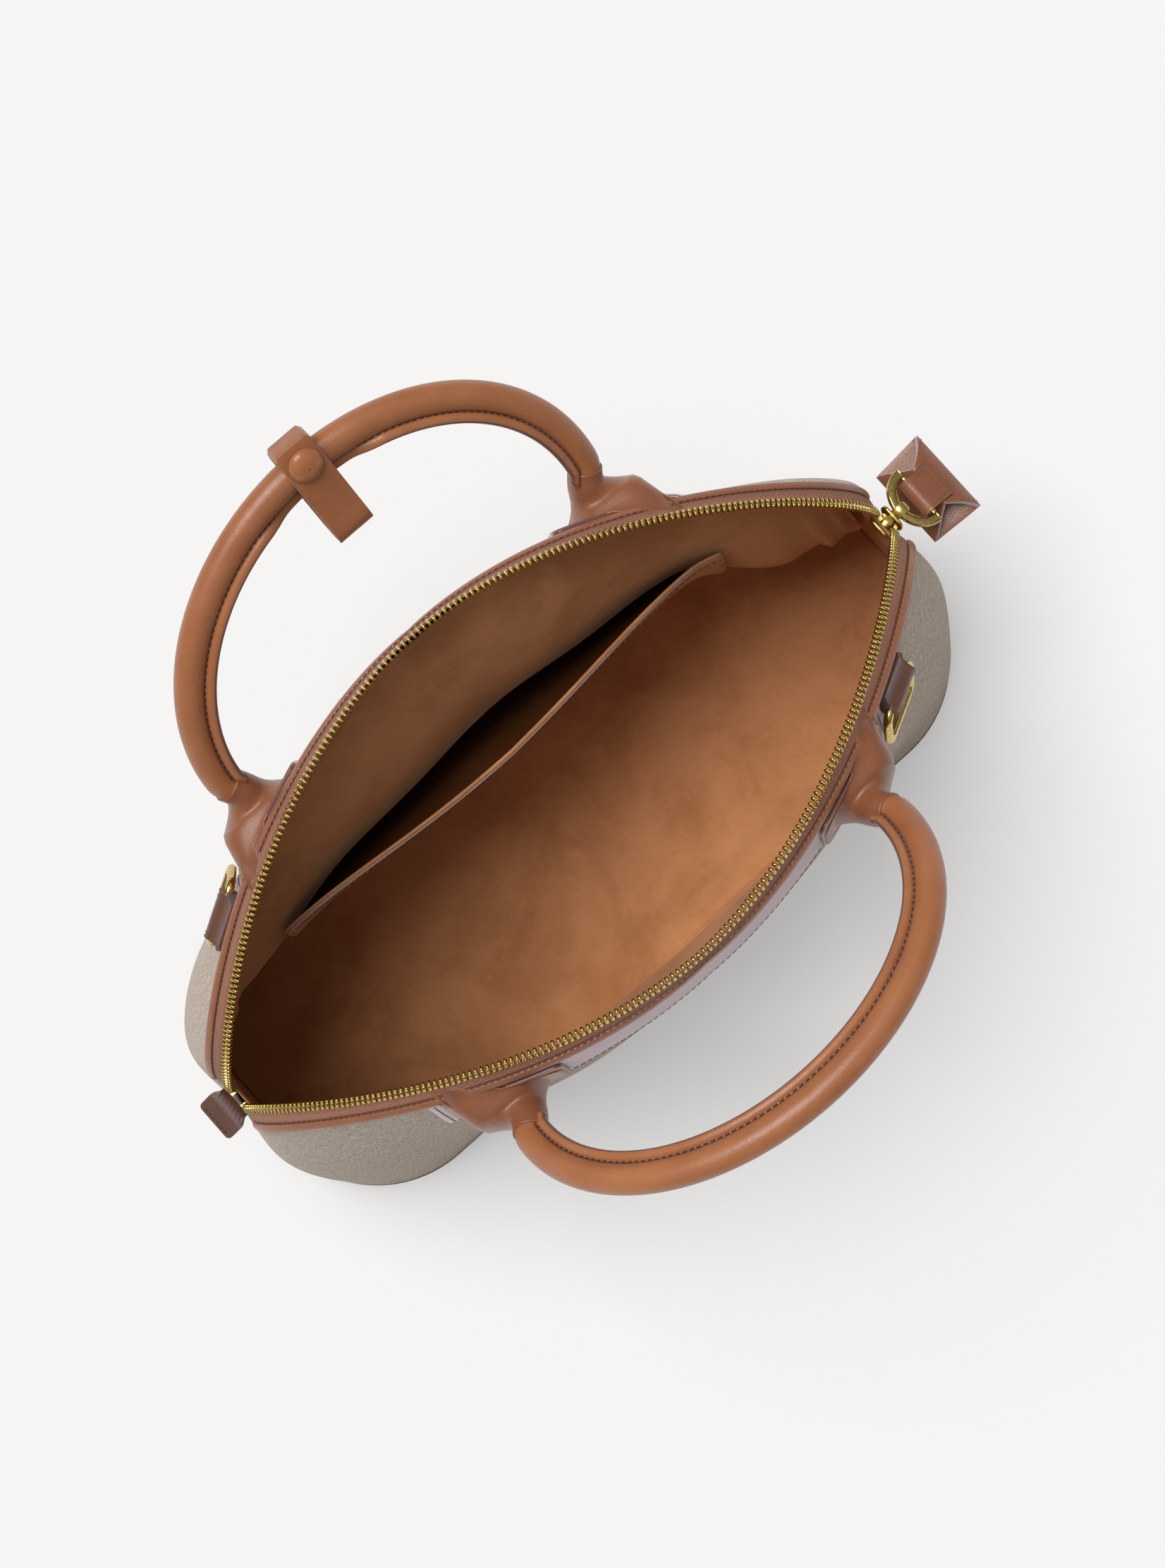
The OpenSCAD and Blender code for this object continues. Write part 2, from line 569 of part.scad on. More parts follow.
// Centre line of the arch in its own plane: x across, w up from the hinge line.
leg_share = 0.26;
function arch(k) = let (a = handle_w / 2, f = handle_foot_w / 2, q = (1 - abs(k)) / leg_share)
  q < 1 ? [sign(k) * (f + (a - f) * q * q * (3 - 2 * q)), handle_leg * q]
        : let (g = 90 * k / (1 - leg_share)) [a * sin(g), handle_leg + (handle_h - handle_leg) * cos(g)];
// The same arch slumped sideways by s for each millimetre of height, though not at the feet.
sway_start = 10;
function swayed(k, s) = let (c = arch(k)) [c[0] + s * c[1] * c[1] / (c[1] + sway_start), c[1]];
function arch_dir(k, s) = unit(swayed(min(k + 0.002, 1), s) - swayed(max(k - 0.002, -1), s));
function ring_on(k, s, pts) = let (c = swayed(k, s), d = arch_dir(k, s))
  [for (p = pts) [c[0] - d[1] * p[0], c[1] + d[0] * p[0], p[1]]];
// The tube flares into a flat foot over the lowest part of each leg.
flare_h = 17;
function flare(k) = let (q = max(0, 1 - arch(k)[1] / flare_h)) q * q * (3 - 2 * q);
flange_fade = 30;             // the seam flange dies out over this height above the hinge line
function cover_profile(k) = let (f = flare(k),
    rx = lerp(tube_r, foot_w / 2, f), rz = lerp(tube_r, hinge_r, f),
    h = flange_t / 2, q = asin(h / rz),
    reach = max(LIP, flange_w * (1 - f) * min(1, arch(k)[1] / flange_fade)))
  concat([[-rx - reach, -h]],
    [for (i = [0:10]) let (a = 180 + q + (360 - 2 * q) * i / 10) [rx * cos(a), rz * sin(a)]],
    [[-rx - reach, h]]);
function hollow_profile(k) = let (f = flare(k), r = core_d / 2 + GAP,
    rx = lerp(r, foot_w / 2 - 2 * foot_wall, f), rz = lerp(r, hinge_r - foot_wall, f))
  [for (i = [0:12]) let (a = 180 + 360 / 13 * (i + 0.5)) [rx * cos(a), rz * sin(a)]];
arch_stations = [for (i = [-20:20]) i / 20];
core_stations = [for (i = [-17:17]) i / 20];
core_profile = [for (i = [0:7]) core_d / 2 * [cos(45 * i), -sin(45 * i)]];
// A pipe: two nested stacks of rings, open at both ends.
module pipe(outer, inner) {
  n = len(outer);
  m = len(outer[0]);
  pts = concat([for (r = outer) each r], [for (r = inner) each r]);
  o = n * m;
  faces = concat(
    [for (i = [0:n-2], j = [0:m-1], k = [0, 1]) let (q = (j+1) % m) k == 0
      ? [i*m+j, (i+1)*m+q, (i+1)*m+j] : [i*m+j, i*m+q, (i+1)*m+q]],
    [for (i = [0:n-2], j = [0:m-1], k = [0, 1]) let (q = (j+1) % m) k == 0
      ? [o+i*m+j, o+(i+1)*m+j, o+(i+1)*m+q] : [o+i*m+j, o+(i+1)*m+q, o+i*m+q]],
    [for (j = [0:m-1], k = [0, 1]) let (q = (j+1) % m) k == 0 ? [j, o+j, o+q] : [j, o+q, q]],
    [for (j = [0:m-1], k = [0, 1]) let (q = (j+1) % m, e = (n-1)*m) k == 0
      ? [e+j, o+e+q, o+e+j] : [e+j, e+q, o+e+q]]);
  polyhedron(pts, faces, convexity = 8);
}
module in_handle(side, lean) translate([0, side * hinge_y, handle_z])
  rotate([90 - side * lean, 0, 0]) children();
module handle_cover(side, lean, s) color(leather_color) in_handle(side, lean)
  pipe([for (k = arch_stations) ring_on(k, s, cover_profile(k))],
       [for (k = arch_stations) ring_on(k, s, hollow_profile(k))]);
module handle_core(side, lean, s) color("tan") in_handle(side, lean)
  swept([for (k = core_stations) ring_on(k, s, core_profile)]);
module front_handle_cover() handle_cover(FRONT, front_lean, 0);
module front_handle_core() handle_core(FRONT, front_lean, 0);
module back_handle_cover() handle_cover(BACK, back_lean, back_sway);
module back_handle_core() handle_core(BACK, back_lean, back_sway);

function patch_grid(x, d) = [for (i = steps(6)) let (u = mouth_u(x + lerp(-patch_w, patch_w, i) / 2))
  [for (j = steps(4)) strip_pt(u, lerp(patch_h, 0, j), d)]];
module patch(side, x) color(leather_color)
  side_slab(side, patch_grid(x, -patch_out), patch_grid(x, -patch_out + patch_t));
module front_left_patch() patch(FRONT, -handle_foot_w / 2);
module front_right_patch() patch(FRONT, handle_foot_w / 2);
module back_left_patch() patch(BACK, -handle_foot_w / 2);
module back_right_patch() patch(BACK, handle_foot_w / 2);

// ---- snap tab on the back handle ----------------------------------------------
tab_k = asin(tab_x / (handle_w / 2)) / 90 * (1 - leg_share);
tab_over = 6;                 // reach of the strap beyond the tube
tab_room = GAP + tube_r;      // half height of the space inside the strap loop
// Local frame on the tube: x along the tube, y outward from the arch, z up.
tab_at = swayed(tab_k, back_sway);
tab_dir = arch_dir(tab_k, back_sway);
module at_tab() in_handle(BACK, back_lean) translate([tab_at[0], tab_at[1], 0])
  rotate([0, 0, atan2(tab_dir[1], tab_dir[0])]) children();
tab_top = tube_r + tab_over;
// Side view of the strap loop: round at its inner fold, blunt at its outer end.
module loop_side(inset) {
  r = tab_room + tab_t - inset;
  hull() {
    translate([tab_top - tab_len + tab_room + tab_t, 0]) circle(r, $fn = smooth);
    translate([tab_top - tab_over, 0]) circle(r, $fn = smooth);
    translate([tab_top - inset - 2 * LIP, -tab_room / 2]) square([2 * LIP, tab_room]);
  }
}
module snap_tab() color(leather_color) at_tab()
  rotate([90, 0, 90]) translate([0, 0, -tab_w / 2]) linear_extrude(tab_w) difference() {
    loop_side(0);
    loop_side(tab_t);
  }
cap_out = 4.5;                // the cap sits toward the strap's outer end
module snap_cap() color(leather_color) at_tab() translate([0, cap_out, tab_room + tab_t + LIP / 2]) {
  r = (cap_d * cap_d / 4 + cap_h * cap_h) / (2 * cap_h);
  intersection() {
    translate([0, 0, cap_h - r]) sphere(r = r, $fn = 64);
    cylinder(h = cap_h, d = cap_d, $fn = 64);
  }
}
stud_in = 14;                 // distance of the stud from the tube, toward the bag
module snap_stud() color(gold_color) at_tab()
  translate([0, -tube_r - stud_in, -tab_room - tab_t - stud_h - LIP / 2]) {
    translate([0, 0, stud_h * 0.4]) cylinder(h = stud_h * 0.6, d = stud_d * 0.7, $fn = smooth);
    cylinder(h = stud_h * 0.5, d = stud_d, $fn = smooth);
  }

front_panel();
back_panel();
base_panel();
base_board();
lining();
pocket_panel();
pocket_trim();
front_band();
back_band();
front_binding();
back_binding();
front_zip_tape();
back_zip_tape();
front_zip_teeth();
back_zip_teeth();
front_top_stop();
back_top_stop();
bottom_stop();
zip_end_tab();
zip_slider();
pull_ring();
pull_strap();
front_ring_keeper();
front_strap_ring();
back_ring_keeper();
back_strap_ring();
front_left_patch();
front_right_patch();
back_left_patch();
back_right_patch();
front_handle_cover();
front_handle_core();
back_handle_cover();
back_handle_core();
snap_tab();
snap_cap();
snap_stud();
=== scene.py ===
"""Looks of an open zip-top doctor bag: canvas shell, leather trim, brass zip and suede lining.

Shapes repeat the driving sizes of part.scad in millimetres; meshes are made in metres.
+X is the slider end, -Y the front, +Z up.
"""

import json
from math import asin, atan2, cos, degrees, pi, radians, sin, sqrt

import bpy
from mathutils import Matrix, Vector, noise
from mathutils.bvhtree import BVHTree

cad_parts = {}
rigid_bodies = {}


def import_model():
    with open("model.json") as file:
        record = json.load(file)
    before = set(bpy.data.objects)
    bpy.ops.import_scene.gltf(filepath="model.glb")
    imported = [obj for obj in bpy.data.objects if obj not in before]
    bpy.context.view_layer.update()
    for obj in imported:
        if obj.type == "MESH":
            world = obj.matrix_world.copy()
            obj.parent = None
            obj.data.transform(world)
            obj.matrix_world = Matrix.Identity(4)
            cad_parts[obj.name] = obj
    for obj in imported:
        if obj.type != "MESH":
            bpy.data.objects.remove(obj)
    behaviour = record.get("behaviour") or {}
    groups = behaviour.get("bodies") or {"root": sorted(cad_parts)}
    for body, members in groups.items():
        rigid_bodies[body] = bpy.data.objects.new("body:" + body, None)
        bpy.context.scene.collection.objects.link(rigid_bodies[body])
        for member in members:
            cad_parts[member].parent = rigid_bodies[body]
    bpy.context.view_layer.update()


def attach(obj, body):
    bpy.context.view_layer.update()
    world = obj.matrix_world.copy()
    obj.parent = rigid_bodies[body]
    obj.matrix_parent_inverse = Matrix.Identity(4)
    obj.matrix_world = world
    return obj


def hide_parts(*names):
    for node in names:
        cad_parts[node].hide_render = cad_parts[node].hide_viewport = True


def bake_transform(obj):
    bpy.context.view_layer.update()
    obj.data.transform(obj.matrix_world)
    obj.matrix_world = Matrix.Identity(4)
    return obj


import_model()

MM = 0.001
FRONT, BACK = -1, 1
NAME = {FRONT: "front", BACK: "back"}

# ---- image points: the photograph scaled to a long side of 1568 ------------------------
W, H = 1165, 1568
POINTS = {
    "left": (174, None), "right": (980, None), "top": (None, 380), "bottom": (None, 1196),
    "snap_cap": (306, 465), "end_tab": (224, 1115), "slider": (890, 520),
    "front_keeper": (898, 685), "pull_ring": (914, 498), "front_left_foot": (500, 1105),
    "floor_crease_left": (505, 1041), "floor_crease_right": (768, 854),
    "pocket_edge": (506, 746),
}

# ---- camera ------------------------------------------------------------------------------
CAMERA_AT = Vector((-20.4, -79.9, 1374.0)) * MM
CAMERA_LOOK = Vector((0.0275, 0.0666, -0.9974))
CAMERA_UP = Vector((0.6642, 0.7445, 0.0680))
LENS, SENSOR = 65.24, 36.0
SHIFT_X, SHIFT_Y = 0.0, 0.0


def add_camera():
    data = bpy.data.cameras.new("camera")
    data.sensor_fit, data.sensor_width, data.lens = "AUTO", SENSOR, LENS
    data.shift_x, data.shift_y = SHIFT_X, SHIFT_Y
    data.clip_start, data.clip_end = 0.05, 20
    obj = bpy.data.objects.new("camera", data)
    back = -CAMERA_LOOK.normalized()
    right = CAMERA_UP.cross(back).normalized()
    up = back.cross(right)
    obj.matrix_world = Matrix((right, up, back)).transposed().to_4x4()
    obj.location = CAMERA_AT
    bpy.context.scene.collection.objects.link(obj)
    bpy.context.scene.camera = obj
    bpy.context.view_layer.update()
    return obj


camera = add_camera()


def ray(x, y):
    """Direction in the world of the ray through an image point."""
    long_side = max(W, H)
    local = Vector((x - W / 2 + SHIFT_X * long_side, H / 2 - y + SHIFT_Y * long_side,
                    -long_side * LENS / SENSOR))
    return (camera.matrix_world.to_3x3() @ local).normalized()


def place(name, carriers):
    """Where the ray through a named point meets the carriers, or the place nearest the ray."""
    direction = ray(*POINTS[name])
    best = None
    for carrier in carriers:
        tree = BVHTree.FromObject(carrier, bpy.context.evaluated_depsgraph_get())
        hit = tree.ray_cast(CAMERA_AT, direction)[0]
        if hit and (best is None or (hit - CAMERA_AT).length < (best - CAMERA_AT).length):
            best = hit
    if best is None:
        spots = [v.co for carrier in carriers for v in carrier.data.vertices]
        best = min(spots, key=lambda p: (p - CAMERA_AT).cross(direction).length)
    return best / MM


def to_image(point):
    """Image point of a place in the world, in metres."""
    local = camera.matrix_world.inverted() @ point
    long_side = max(W, H)
    k = long_side * LENS / SENSOR / -local.z
    return (W / 2 - SHIFT_X * long_side + local.x * k, H / 2 + SHIFT_Y * long_side - local.y * k)


# ---- materials -----------------------------------------------------------------------------
class Nodes:
    """A short way to write node trees."""

    def __init__(self, name):
        self.mat = bpy.data.materials.new(name)
        self.mat.use_nodes = True
        self.tree = self.mat.node_tree
        self.bsdf = self.tree.nodes["Principled BSDF"]

    def feed(self, socket, source):
        """A number or colour is set on the socket itself; anything else is linked to it."""
        if isinstance(source, (int, float, tuple)):
            rgb = socket.type == "RGBA" and len(source) == 3
            socket.default_value = (*source, 1.0) if rgb else source
        else:
            self.tree.links.new(source, socket)

    def add(self, kind, *links, **values):
        node = self.tree.nodes.new(kind)
        for key, value in values.items():
            setattr(node, key, value)
        for socket, source in links:
            self.feed(node.inputs[socket], source)
        return node.outputs[0]

    def coords(self, kind="Object"):
        return self.tree.nodes.new("ShaderNodeTexCoord").outputs[kind]

    def split(self, vector):
        node = self.tree.nodes.new("ShaderNodeSeparateXYZ")
        self.tree.links.new(vector, node.inputs[0])
        return node.outputs

    def math(self, operation, a, b=0.0):
        return self.add("ShaderNodeMath", (0, a), (1, b), operation=operation)

    def times(self, a, k, plus=None):
        """a times k, with something added to it."""
        product = self.math("MULTIPLY", a, k)
        return product if plus is None else self.math("ADD", product, plus)

    def noise(self, vector, scale, detail=4.0, rough=0.55, distortion=0.0):
        return self.add("ShaderNodeTexNoise", ("Vector", vector), ("Scale", scale),
                        ("Detail", detail), ("Roughness", rough), ("Distortion", distortion))

    def cells(self, vector, scale):
        return self.add("ShaderNodeTexVoronoi", ("Vector", vector), ("Scale", scale))

    def scaled(self, vector, x, y, z=1.0):
        return self.add("ShaderNodeMapping", ("Vector", vector), ("Scale", (x, y, z)))

    def ramp(self, fac, *stops):
        node = self.tree.nodes.new("ShaderNodeValToRGB")
        marks = node.color_ramp.elements
        while len(marks) < len(stops):
            marks.new(0.5)
        for mark, (at, color) in zip(marks, stops):
            mark.position, mark.color = at, (*color, 1.0)
        self.tree.links.new(fac, node.inputs[0])
        return node.outputs[0]

    def mix(self, fac, a, b, blend="MIX"):
        node = self.tree.nodes.new("ShaderNodeMix")
        node.data_type, node.blend_type = "RGBA", blend
        for index, value in ((0, fac), (6, a), (7, b)):
            self.feed(node.inputs[index], value)
        return node.outputs[2]

    def bump(self, height, strength, distance):
        return self.add("ShaderNodeBump", ("Height", height), ("Strength", strength),
                        ("Distance", distance))

    def finish(self, color, rough, normal=None, **constants):
        for socket, value in (("Base Color", color), ("Roughness", rough), ("Normal", normal)):
            if value is not None:
                self.feed(self.bsdf.inputs[socket], value)
        for key, value in constants.items():
            socket = key.replace("_", " ").title().replace("Ior", "IOR")
            self.feed(self.bsdf.inputs[socket], value)
        return self.mat


def shade(color, k):
    return tuple(k * c for c in color)


def leather(name, light, dark, gloss, sheen, grain=0.35):
    """Smooth leather: cloudy colour, fine pebbled grain and a pale sheen at grazing angles."""
    n = Nodes(name)
    at = n.coords()
    cloud = n.noise(at, 28, 5, 0.6)
    fine = n.noise(at, 420, 3)
    color = n.ramp(cloud, (0.32, dark), (0.68, light))
    color = n.mix(n.times(fine, 0.22), color, shade(dark, 0.55))
    height = n.times(n.cells(at, 1150), 0.6, n.times(fine, 0.8))
    return n.finish(color, n.times(fine, 0.16, gloss - 0.08), n.bump(height, grain, 0.00025),
                    sheen_weight=sheen, sheen_roughness=0.4, sheen_tint=(0.80, 0.74, 0.84))


YARN, SLUB_FINE, SLUB_LONG = 0.00085, 1500, 170
TAPE_COLUMN, TAPE_RIB = 0.0034, 0.0011


def canvas(name):
    """Plain-woven linen canvas: UVs in metres along the warp and weft."""
    n = Nodes(name)
    uv = n.coords("UV")
    waves = [n.math("SINE", n.times(axis, 2 * pi / YARN)) for axis in n.split(uv)[:2]]
    weave = n.math("MULTIPLY", *waves)
    warp = n.noise(n.scaled(uv, SLUB_FINE, SLUB_LONG), 1.0, 2)
    weft = n.noise(n.scaled(uv, SLUB_LONG, SLUB_FINE), 1.0, 2)
    slub = n.times(warp, 0.5, n.times(weft, 0.5))
    tone = n.times(weave, 0.045, slub)
    color = n.ramp(tone, (0.38, (0.20, 0.145, 0.100)), (0.50, (0.42, 0.325, 0.235)),
                   (0.62, (0.64, 0.53, 0.42)))
    color = n.mix(n.times(n.noise(n.coords(), 22, 4), 0.25), color, (0.48, 0.37, 0.275))
    return n.finish(color, 0.86, n.bump(n.times(weave, 0.35, slub), 0.55, 0.0004),
                    sheen_weight=0.25, sheen_roughness=0.5)


def herringbone(name):
    """Zip tape: ribs that slope one way on one half of the tape and back on the other."""
    n = Nodes(name)
    along, across = n.split(n.coords("UV"))[:2]
    slope = n.times(n.math("PINGPONG", across, TAPE_COLUMN), 1.3, along)
    ribs = n.times(n.math("SINE", n.times(slope, 2 * pi / TAPE_RIB)), 0.5, 0.5)
    tone = n.times(ribs, 0.62, n.times(n.noise(n.coords(), 1900, 3), 0.38))
    color = n.ramp(tone, (0.24, (0.085, 0.026, 0.014)), (0.50, (0.33, 0.118, 0.060)),
                   (0.80, (0.60, 0.27, 0.155)))
    return n.finish(color, 0.62, n.bump(tone, 0.8, 0.0005), sheen_weight=0.05)


def suede(name, light, dark):
    """Napped suede: soft clouds where the nap is brushed, a velvety edge, and painted shade toward
    -X.
    """
    n = Nodes(name)
    at = n.coords()
    cloud = n.noise(at, 24, 5, 0.62, 0.6)
    nap = n.noise(at, 700, 4, 0.7)
    color = n.ramp(cloud, (0.40, dark), (0.60, light))
    brushed = n.ramp(n.noise(at, 13, 6, 0.72, 1.4), (0.44, (0, 0, 0)), (0.60, (1, 1, 1)))
    color = n.mix(n.times(brushed, 0.40), color, shade(light, 1.22))
    # painted shade: the colour is multiplied darker toward the -X end, where the lining's left and
    # back wall fall in shade
    painted_shade_left = n.ramp(n.times(n.split(at)[0], 2.6, 0.55), (0.0, (0.50, 0.47, 0.42)),
                     (0.62, (1, 1, 1)))
    color = n.mix(1.0, color, painted_shade_left, "MULTIPLY")
    streaks = n.noise(n.scaled(at, 26, 90, 60), 1.0, 4, 0.65)
    color = n.mix(n.times(streaks, 0.35), color, shade(dark, 0.8))
    color = n.mix(n.times(nap, 0.35), color, shade(dark, 0.62))
    return n.finish(color, 0.93, n.bump(nap, 0.45, 0.0004), sheen_weight=0.35,
                    sheen_roughness=0.35, sheen_tint=(0.85, 0.55, 0.35),
                    specular_ior_level=0.2)


def gold(name, rough=0.13):
    """Plated brass, a little worn."""
    n = Nodes(name)
    wear = n.noise(n.coords(), 900, 3)
    color = n.ramp(wear, (0.3, (0.46, 0.32, 0.085)), (0.7, (0.74, 0.55, 0.20)))
    return n.finish(color, n.times(wear, 0.12, rough - 0.05), n.bump(wear, 0.08, 0.0001),
                    metallic=1.0)


def thread(name, color):
    """Twisted fibres, for thread, cord and board."""
    n = Nodes(name)
    twist = n.noise(n.coords(), 2600, 2)
    color = n.ramp(twist, (0.3, shade(color, 0.6)), (0.7, color))
    return n.finish(color, 0.6, n.bump(twist, 0.5, 0.0002))


# light colour, dark colour, gloss, sheen and grain
COGNAC = leather("cognac leather", (0.44, 0.165, 0.064), (0.34, 0.118, 0.044), 0.37, 0.08)
# painted shade: the feet take a darker copy of the cognac leather, as they sit in the shade of the
# bag and binding
FOOT_IN_SHADE = leather("foot leather in painted shade", (0.30, 0.108, 0.045), (0.22, 0.076, 0.032), 0.36, 0.08)
PULL = leather("pull leather", (0.28, 0.103, 0.050), (0.21, 0.075, 0.037), 0.33, 0.2)
CAP = leather("cap leather", (0.46, 0.172, 0.068), (0.38, 0.135, 0.052), 0.27, 0.05)
# the pocket's inner face is real cognac leather, painted much darker to stand in for the shade
# inside the pocket
POCKET_FACE_IN_SHADE = leather("pocket leather", (0.17, 0.062, 0.020), (0.11, 0.038, 0.012), 0.30, 0.0)
STRIP = leather("binding leather", (0.33, 0.125, 0.062), (0.26, 0.095, 0.046), 0.30, 0.1)
BAND = leather("band leather", (0.36, 0.140, 0.075), (0.28, 0.105, 0.055), 0.34, 0.8)
BROWN = leather("brown leather", (0.150, 0.060, 0.036), (0.095, 0.036, 0.022), 0.38, 0.35, 0.5)
EDGE = leather("painted edge", (0.165, 0.080, 0.062), (0.120, 0.055, 0.045), 0.34, 0.5, 0.15)
PALE_EDGE = leather("pale painted edge", (0.42, 0.33, 0.335), (0.33, 0.25, 0.26), 0.4, 0.5, 0.2)
CANVAS = canvas("linen canvas")
TAPE = herringbone("zip tape")
SUEDE = suede("suede", (0.60, 0.285, 0.125), (0.46, 0.200, 0.082))
GOLD = gold("polished gold")
DARK_GOLD = gold("satin gold", 0.24)
DARK_THREAD = thread("dark thread", (0.060, 0.028, 0.020))
TAN_THREAD = thread("tan thread", (0.36, 0.15, 0.07))
BOARD = thread("fibre board", (0.45, 0.34, 0.22))
CORD = thread("cotton cord", (0.70, 0.62, 0.50))

# ---- the shape of the bag, as in part.scad -----------------------------------------------
BODY_LENGTH, BODY_DEPTH, BASE_R, BULGE = 410, 164, 60, 9
CANVAS_T, LINING_GAP, LINING_T = 1.6, 2.5, 1.0
MOUTH_H, TIP_H, MOUTH_L, MOUTH_W, TIP_W = 235, 128, 380, 174, 14
TAPE_W, TAPE_T, PITCH = 7.5, 1.0, 2.67
BINDING_W, BINDING_T, BAND_H, BAND_T, BAND_SHARE = 4, 3, 44, 1.4, 0.44
LIP, SEAM = 0.1, 0.997
BASE_T, BOARD_T, BOARD_GAP = 2, 2, 1
CANVAS_LOW = BASE_T + LIP


def lerp(a, b, k):
    return a + (b - a) * k


def smooth(k):
    k = min(1.0, max(0.0, k))
    return k * k * (3 - 2 * k)


def spread(a, b, n):
    """The ends and the n - 1 places between a and b."""
    return [lerp(a, b, i / n) for i in range(n + 1)]


def turns(n):
    """Cosine and sine at n places round a circle."""
    return [(cos(2 * pi * i / n), sin(2 * pi * i / n)) for i in range(n)]


def bent(x, power):
    """x to a power, with its sign kept."""
    return abs(x) ** power * (1 if x > 0 else -1)


def tooth_line(u):
    s, c = sin(pi / 2 * u), cos(pi / 2 * u)
    y = TIP_W / 2 + (MOUTH_W - TIP_W) / 2 * (1 - abs(s) ** 1.85)
    return Vector((MOUTH_L / 2 * s, y, TIP_H + (MOUTH_H - TIP_H) * c))


def tooth_dir(u):
    return (tooth_line(min(u + 0.004, 1)) - tooth_line(max(u - 0.004, -1))).normalized()


def tape_down(u):
    """Direction across the tape, from the teeth down to the panel."""
    d = tooth_dir(u).to_2d().normalized()
    out = Vector((-d.y * (1 - abs(u) ** 6), d.x)).normalized()
    angle = radians(lerp(72, 14, abs(u) ** 0.8))
    return Vector((cos(angle) * out.x, cos(angle) * out.y, -sin(angle)))


def edge_line(u):
    return tooth_line(u) + TAPE_W * (1 - 0.98 * abs(u) ** 14) * tape_down(u)


def base_line(u):
    bx, by, arc = BODY_LENGTH / 2 - BASE_R, BODY_DEPTH / 2 - BASE_R, BASE_R * pi / 2
    s = abs(u) * (bx + arc + by)
    if s < bx:
        x, y = s, by + BASE_R
    elif s < bx + arc:
        x, y = bx + BASE_R * sin((s - bx) / BASE_R), by + BASE_R * cos((s - bx) / BASE_R)
    else:
        x, y = bx + BASE_R, by - (s - bx - arc)
    return Vector((x if u > 0 else -x, y, 0))


def side_pt(u, v):
    """The back half's side surface: v runs from 0 at the base to 1 at the mouth's edge."""
    b, e = base_line(u), edge_line(u)
    late = v ** (1 + 6 * abs(u) ** 12)
    out = Vector((b.x / BODY_LENGTH * (1 if abs(u) < 0.999 else 2), b.y / BODY_DEPTH)).normalized()
    g = BULGE * sin(pi * v ** 1.15) * (1 - 0.75 * abs(u) ** 3)
    return Vector((lerp(b.x, e.x, v) + g * out.x, lerp(b.y, e.y, late) + g * out.y, e.z * v))


BACK_TUCK = 24


def tuck(u, v):
    """How far the slack back falls in low down, between its right handle foot and the tip."""
    return BACK_TUCK * smooth((u - 0.38) / 0.2) * smooth((1 - u) / 0.28) * smooth((0.92 - v) / 0.45)


def side_normal(u, v):
    a = side_pt(min(u + 0.01, 1), v) - side_pt(max(u - 0.01, -1), v)
    c = side_pt(u, min(v + 0.01, 1)) - side_pt(u, max(v - 0.01, 0))
    return c.cross(a).normalized()


def side_at(u, v, d):
    return side_pt(u, v) - d * side_normal(u, v)


def v_at(u, z):
    return z / edge_line(u).z


def mouth_u(x):
    return asin(x / (MOUTH_L / 2)) / (pi / 2)


def on_side(side, p):
    return Vector((p.x, side * p.y, p.z))


# ---- mesh builders -------------------------------------------------------------------------
def piece(name, verts, faces, mats, body="bag", slot="leather", replaces=(), uvs=None,
          ids=None, soften=0.0):
    """An object from points in millimetres, riding on a body."""
    mesh = bpy.data.meshes.new(name)
    mesh.from_pydata([v * MM for v in verts], [], faces)
    for mat in mats:
        mesh.materials.append(mat)
    if ids:
        mesh.polygons.foreach_set("material_index", ids)
    if uvs:
        layer = mesh.uv_layers.new(name="UVMap")
        for loop in mesh.loops:
            layer.data[loop.index].uv = uvs[loop.vertex_index]
    mesh.polygons.foreach_set("use_smooth", [True] * len(mesh.polygons))
    mesh.validate()
    obj = bpy.data.objects.new(name, mesh)
    bpy.context.scene.collection.objects.link(obj)
    if soften:
        bevel = obj.modifiers.new("soft edges", "BEVEL")
        bevel.width, bevel.segments = soften * MM, 3
        bevel.limit_method, bevel.angle_limit = "ANGLE", radians(50)
    if body:
        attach(obj, body)
    if replaces:
        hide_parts(*replaces)
    return obj


def grid_slab(name, outer, inner, mats, edge=0, under=0, flip=False, **how):
    """A closed slab between two grids of points, with materials for its rim and underside."""
    n, m = len(outer), len(outer[0])
    verts = [p for row in outer for p in row] + [p for row in inner for p in row]
    o = n * m
    faces, ids = [], []
    for i in range(n - 1):
        for j in range(m - 1):
            a, b, c, d = i * m + j, (i + 1) * m + j, (i + 1) * m + j + 1, i * m + j + 1
            faces += [(a, b, c, d), (o + d, o + c, o + b, o + a)]
            ids += [0, under]
    rim = [i * m for i in range(n)] + [(n - 1) * m + j for j in range(1, m)]
    rim += [i * m + m - 1 for i in range(n - 2, -1, -1)] + [j for j in range(m - 2, 0, -1)]
    for a, b in zip(rim, rim[1:] + rim[:1]):
        faces.append((b, a, o + a, o + b))
        ids.append(edge)
    if flip:
        faces = [tuple(reversed(f)) for f in faces]
    uvs = []
    for rows in (outer, inner):
        runs = [0.0]
        for i in range(1, n):
            runs.append(runs[-1] + (rows[i][m // 2] - rows[i - 1][m // 2]).length * MM)
        middle = runs[-1] / 2
        for i in range(n):
            down = 0.0
            for j in range(m):
                down += (rows[i][j] - rows[i][j - 1]).length * MM if j else 0.0
                uvs.append((runs[i] - middle, down))
    return piece(name, verts, faces, mats, ids=ids, uvs=uvs, **how)


def skin(n, m, ends=True, loop=False):
    """Faces through n rings of m points, closed at the ends or round into a loop."""
    faces = [(i * m + j, (i + 1) % n * m + j, (i + 1) % n * m + (j + 1) % m, i * m + (j + 1) % m)
             for i in range(n if loop else n - 1) for j in range(m)]
    if ends and not loop:
        faces += [tuple(reversed(range(m))), tuple((n - 1) * m + j for j in range(m))]
    return faces


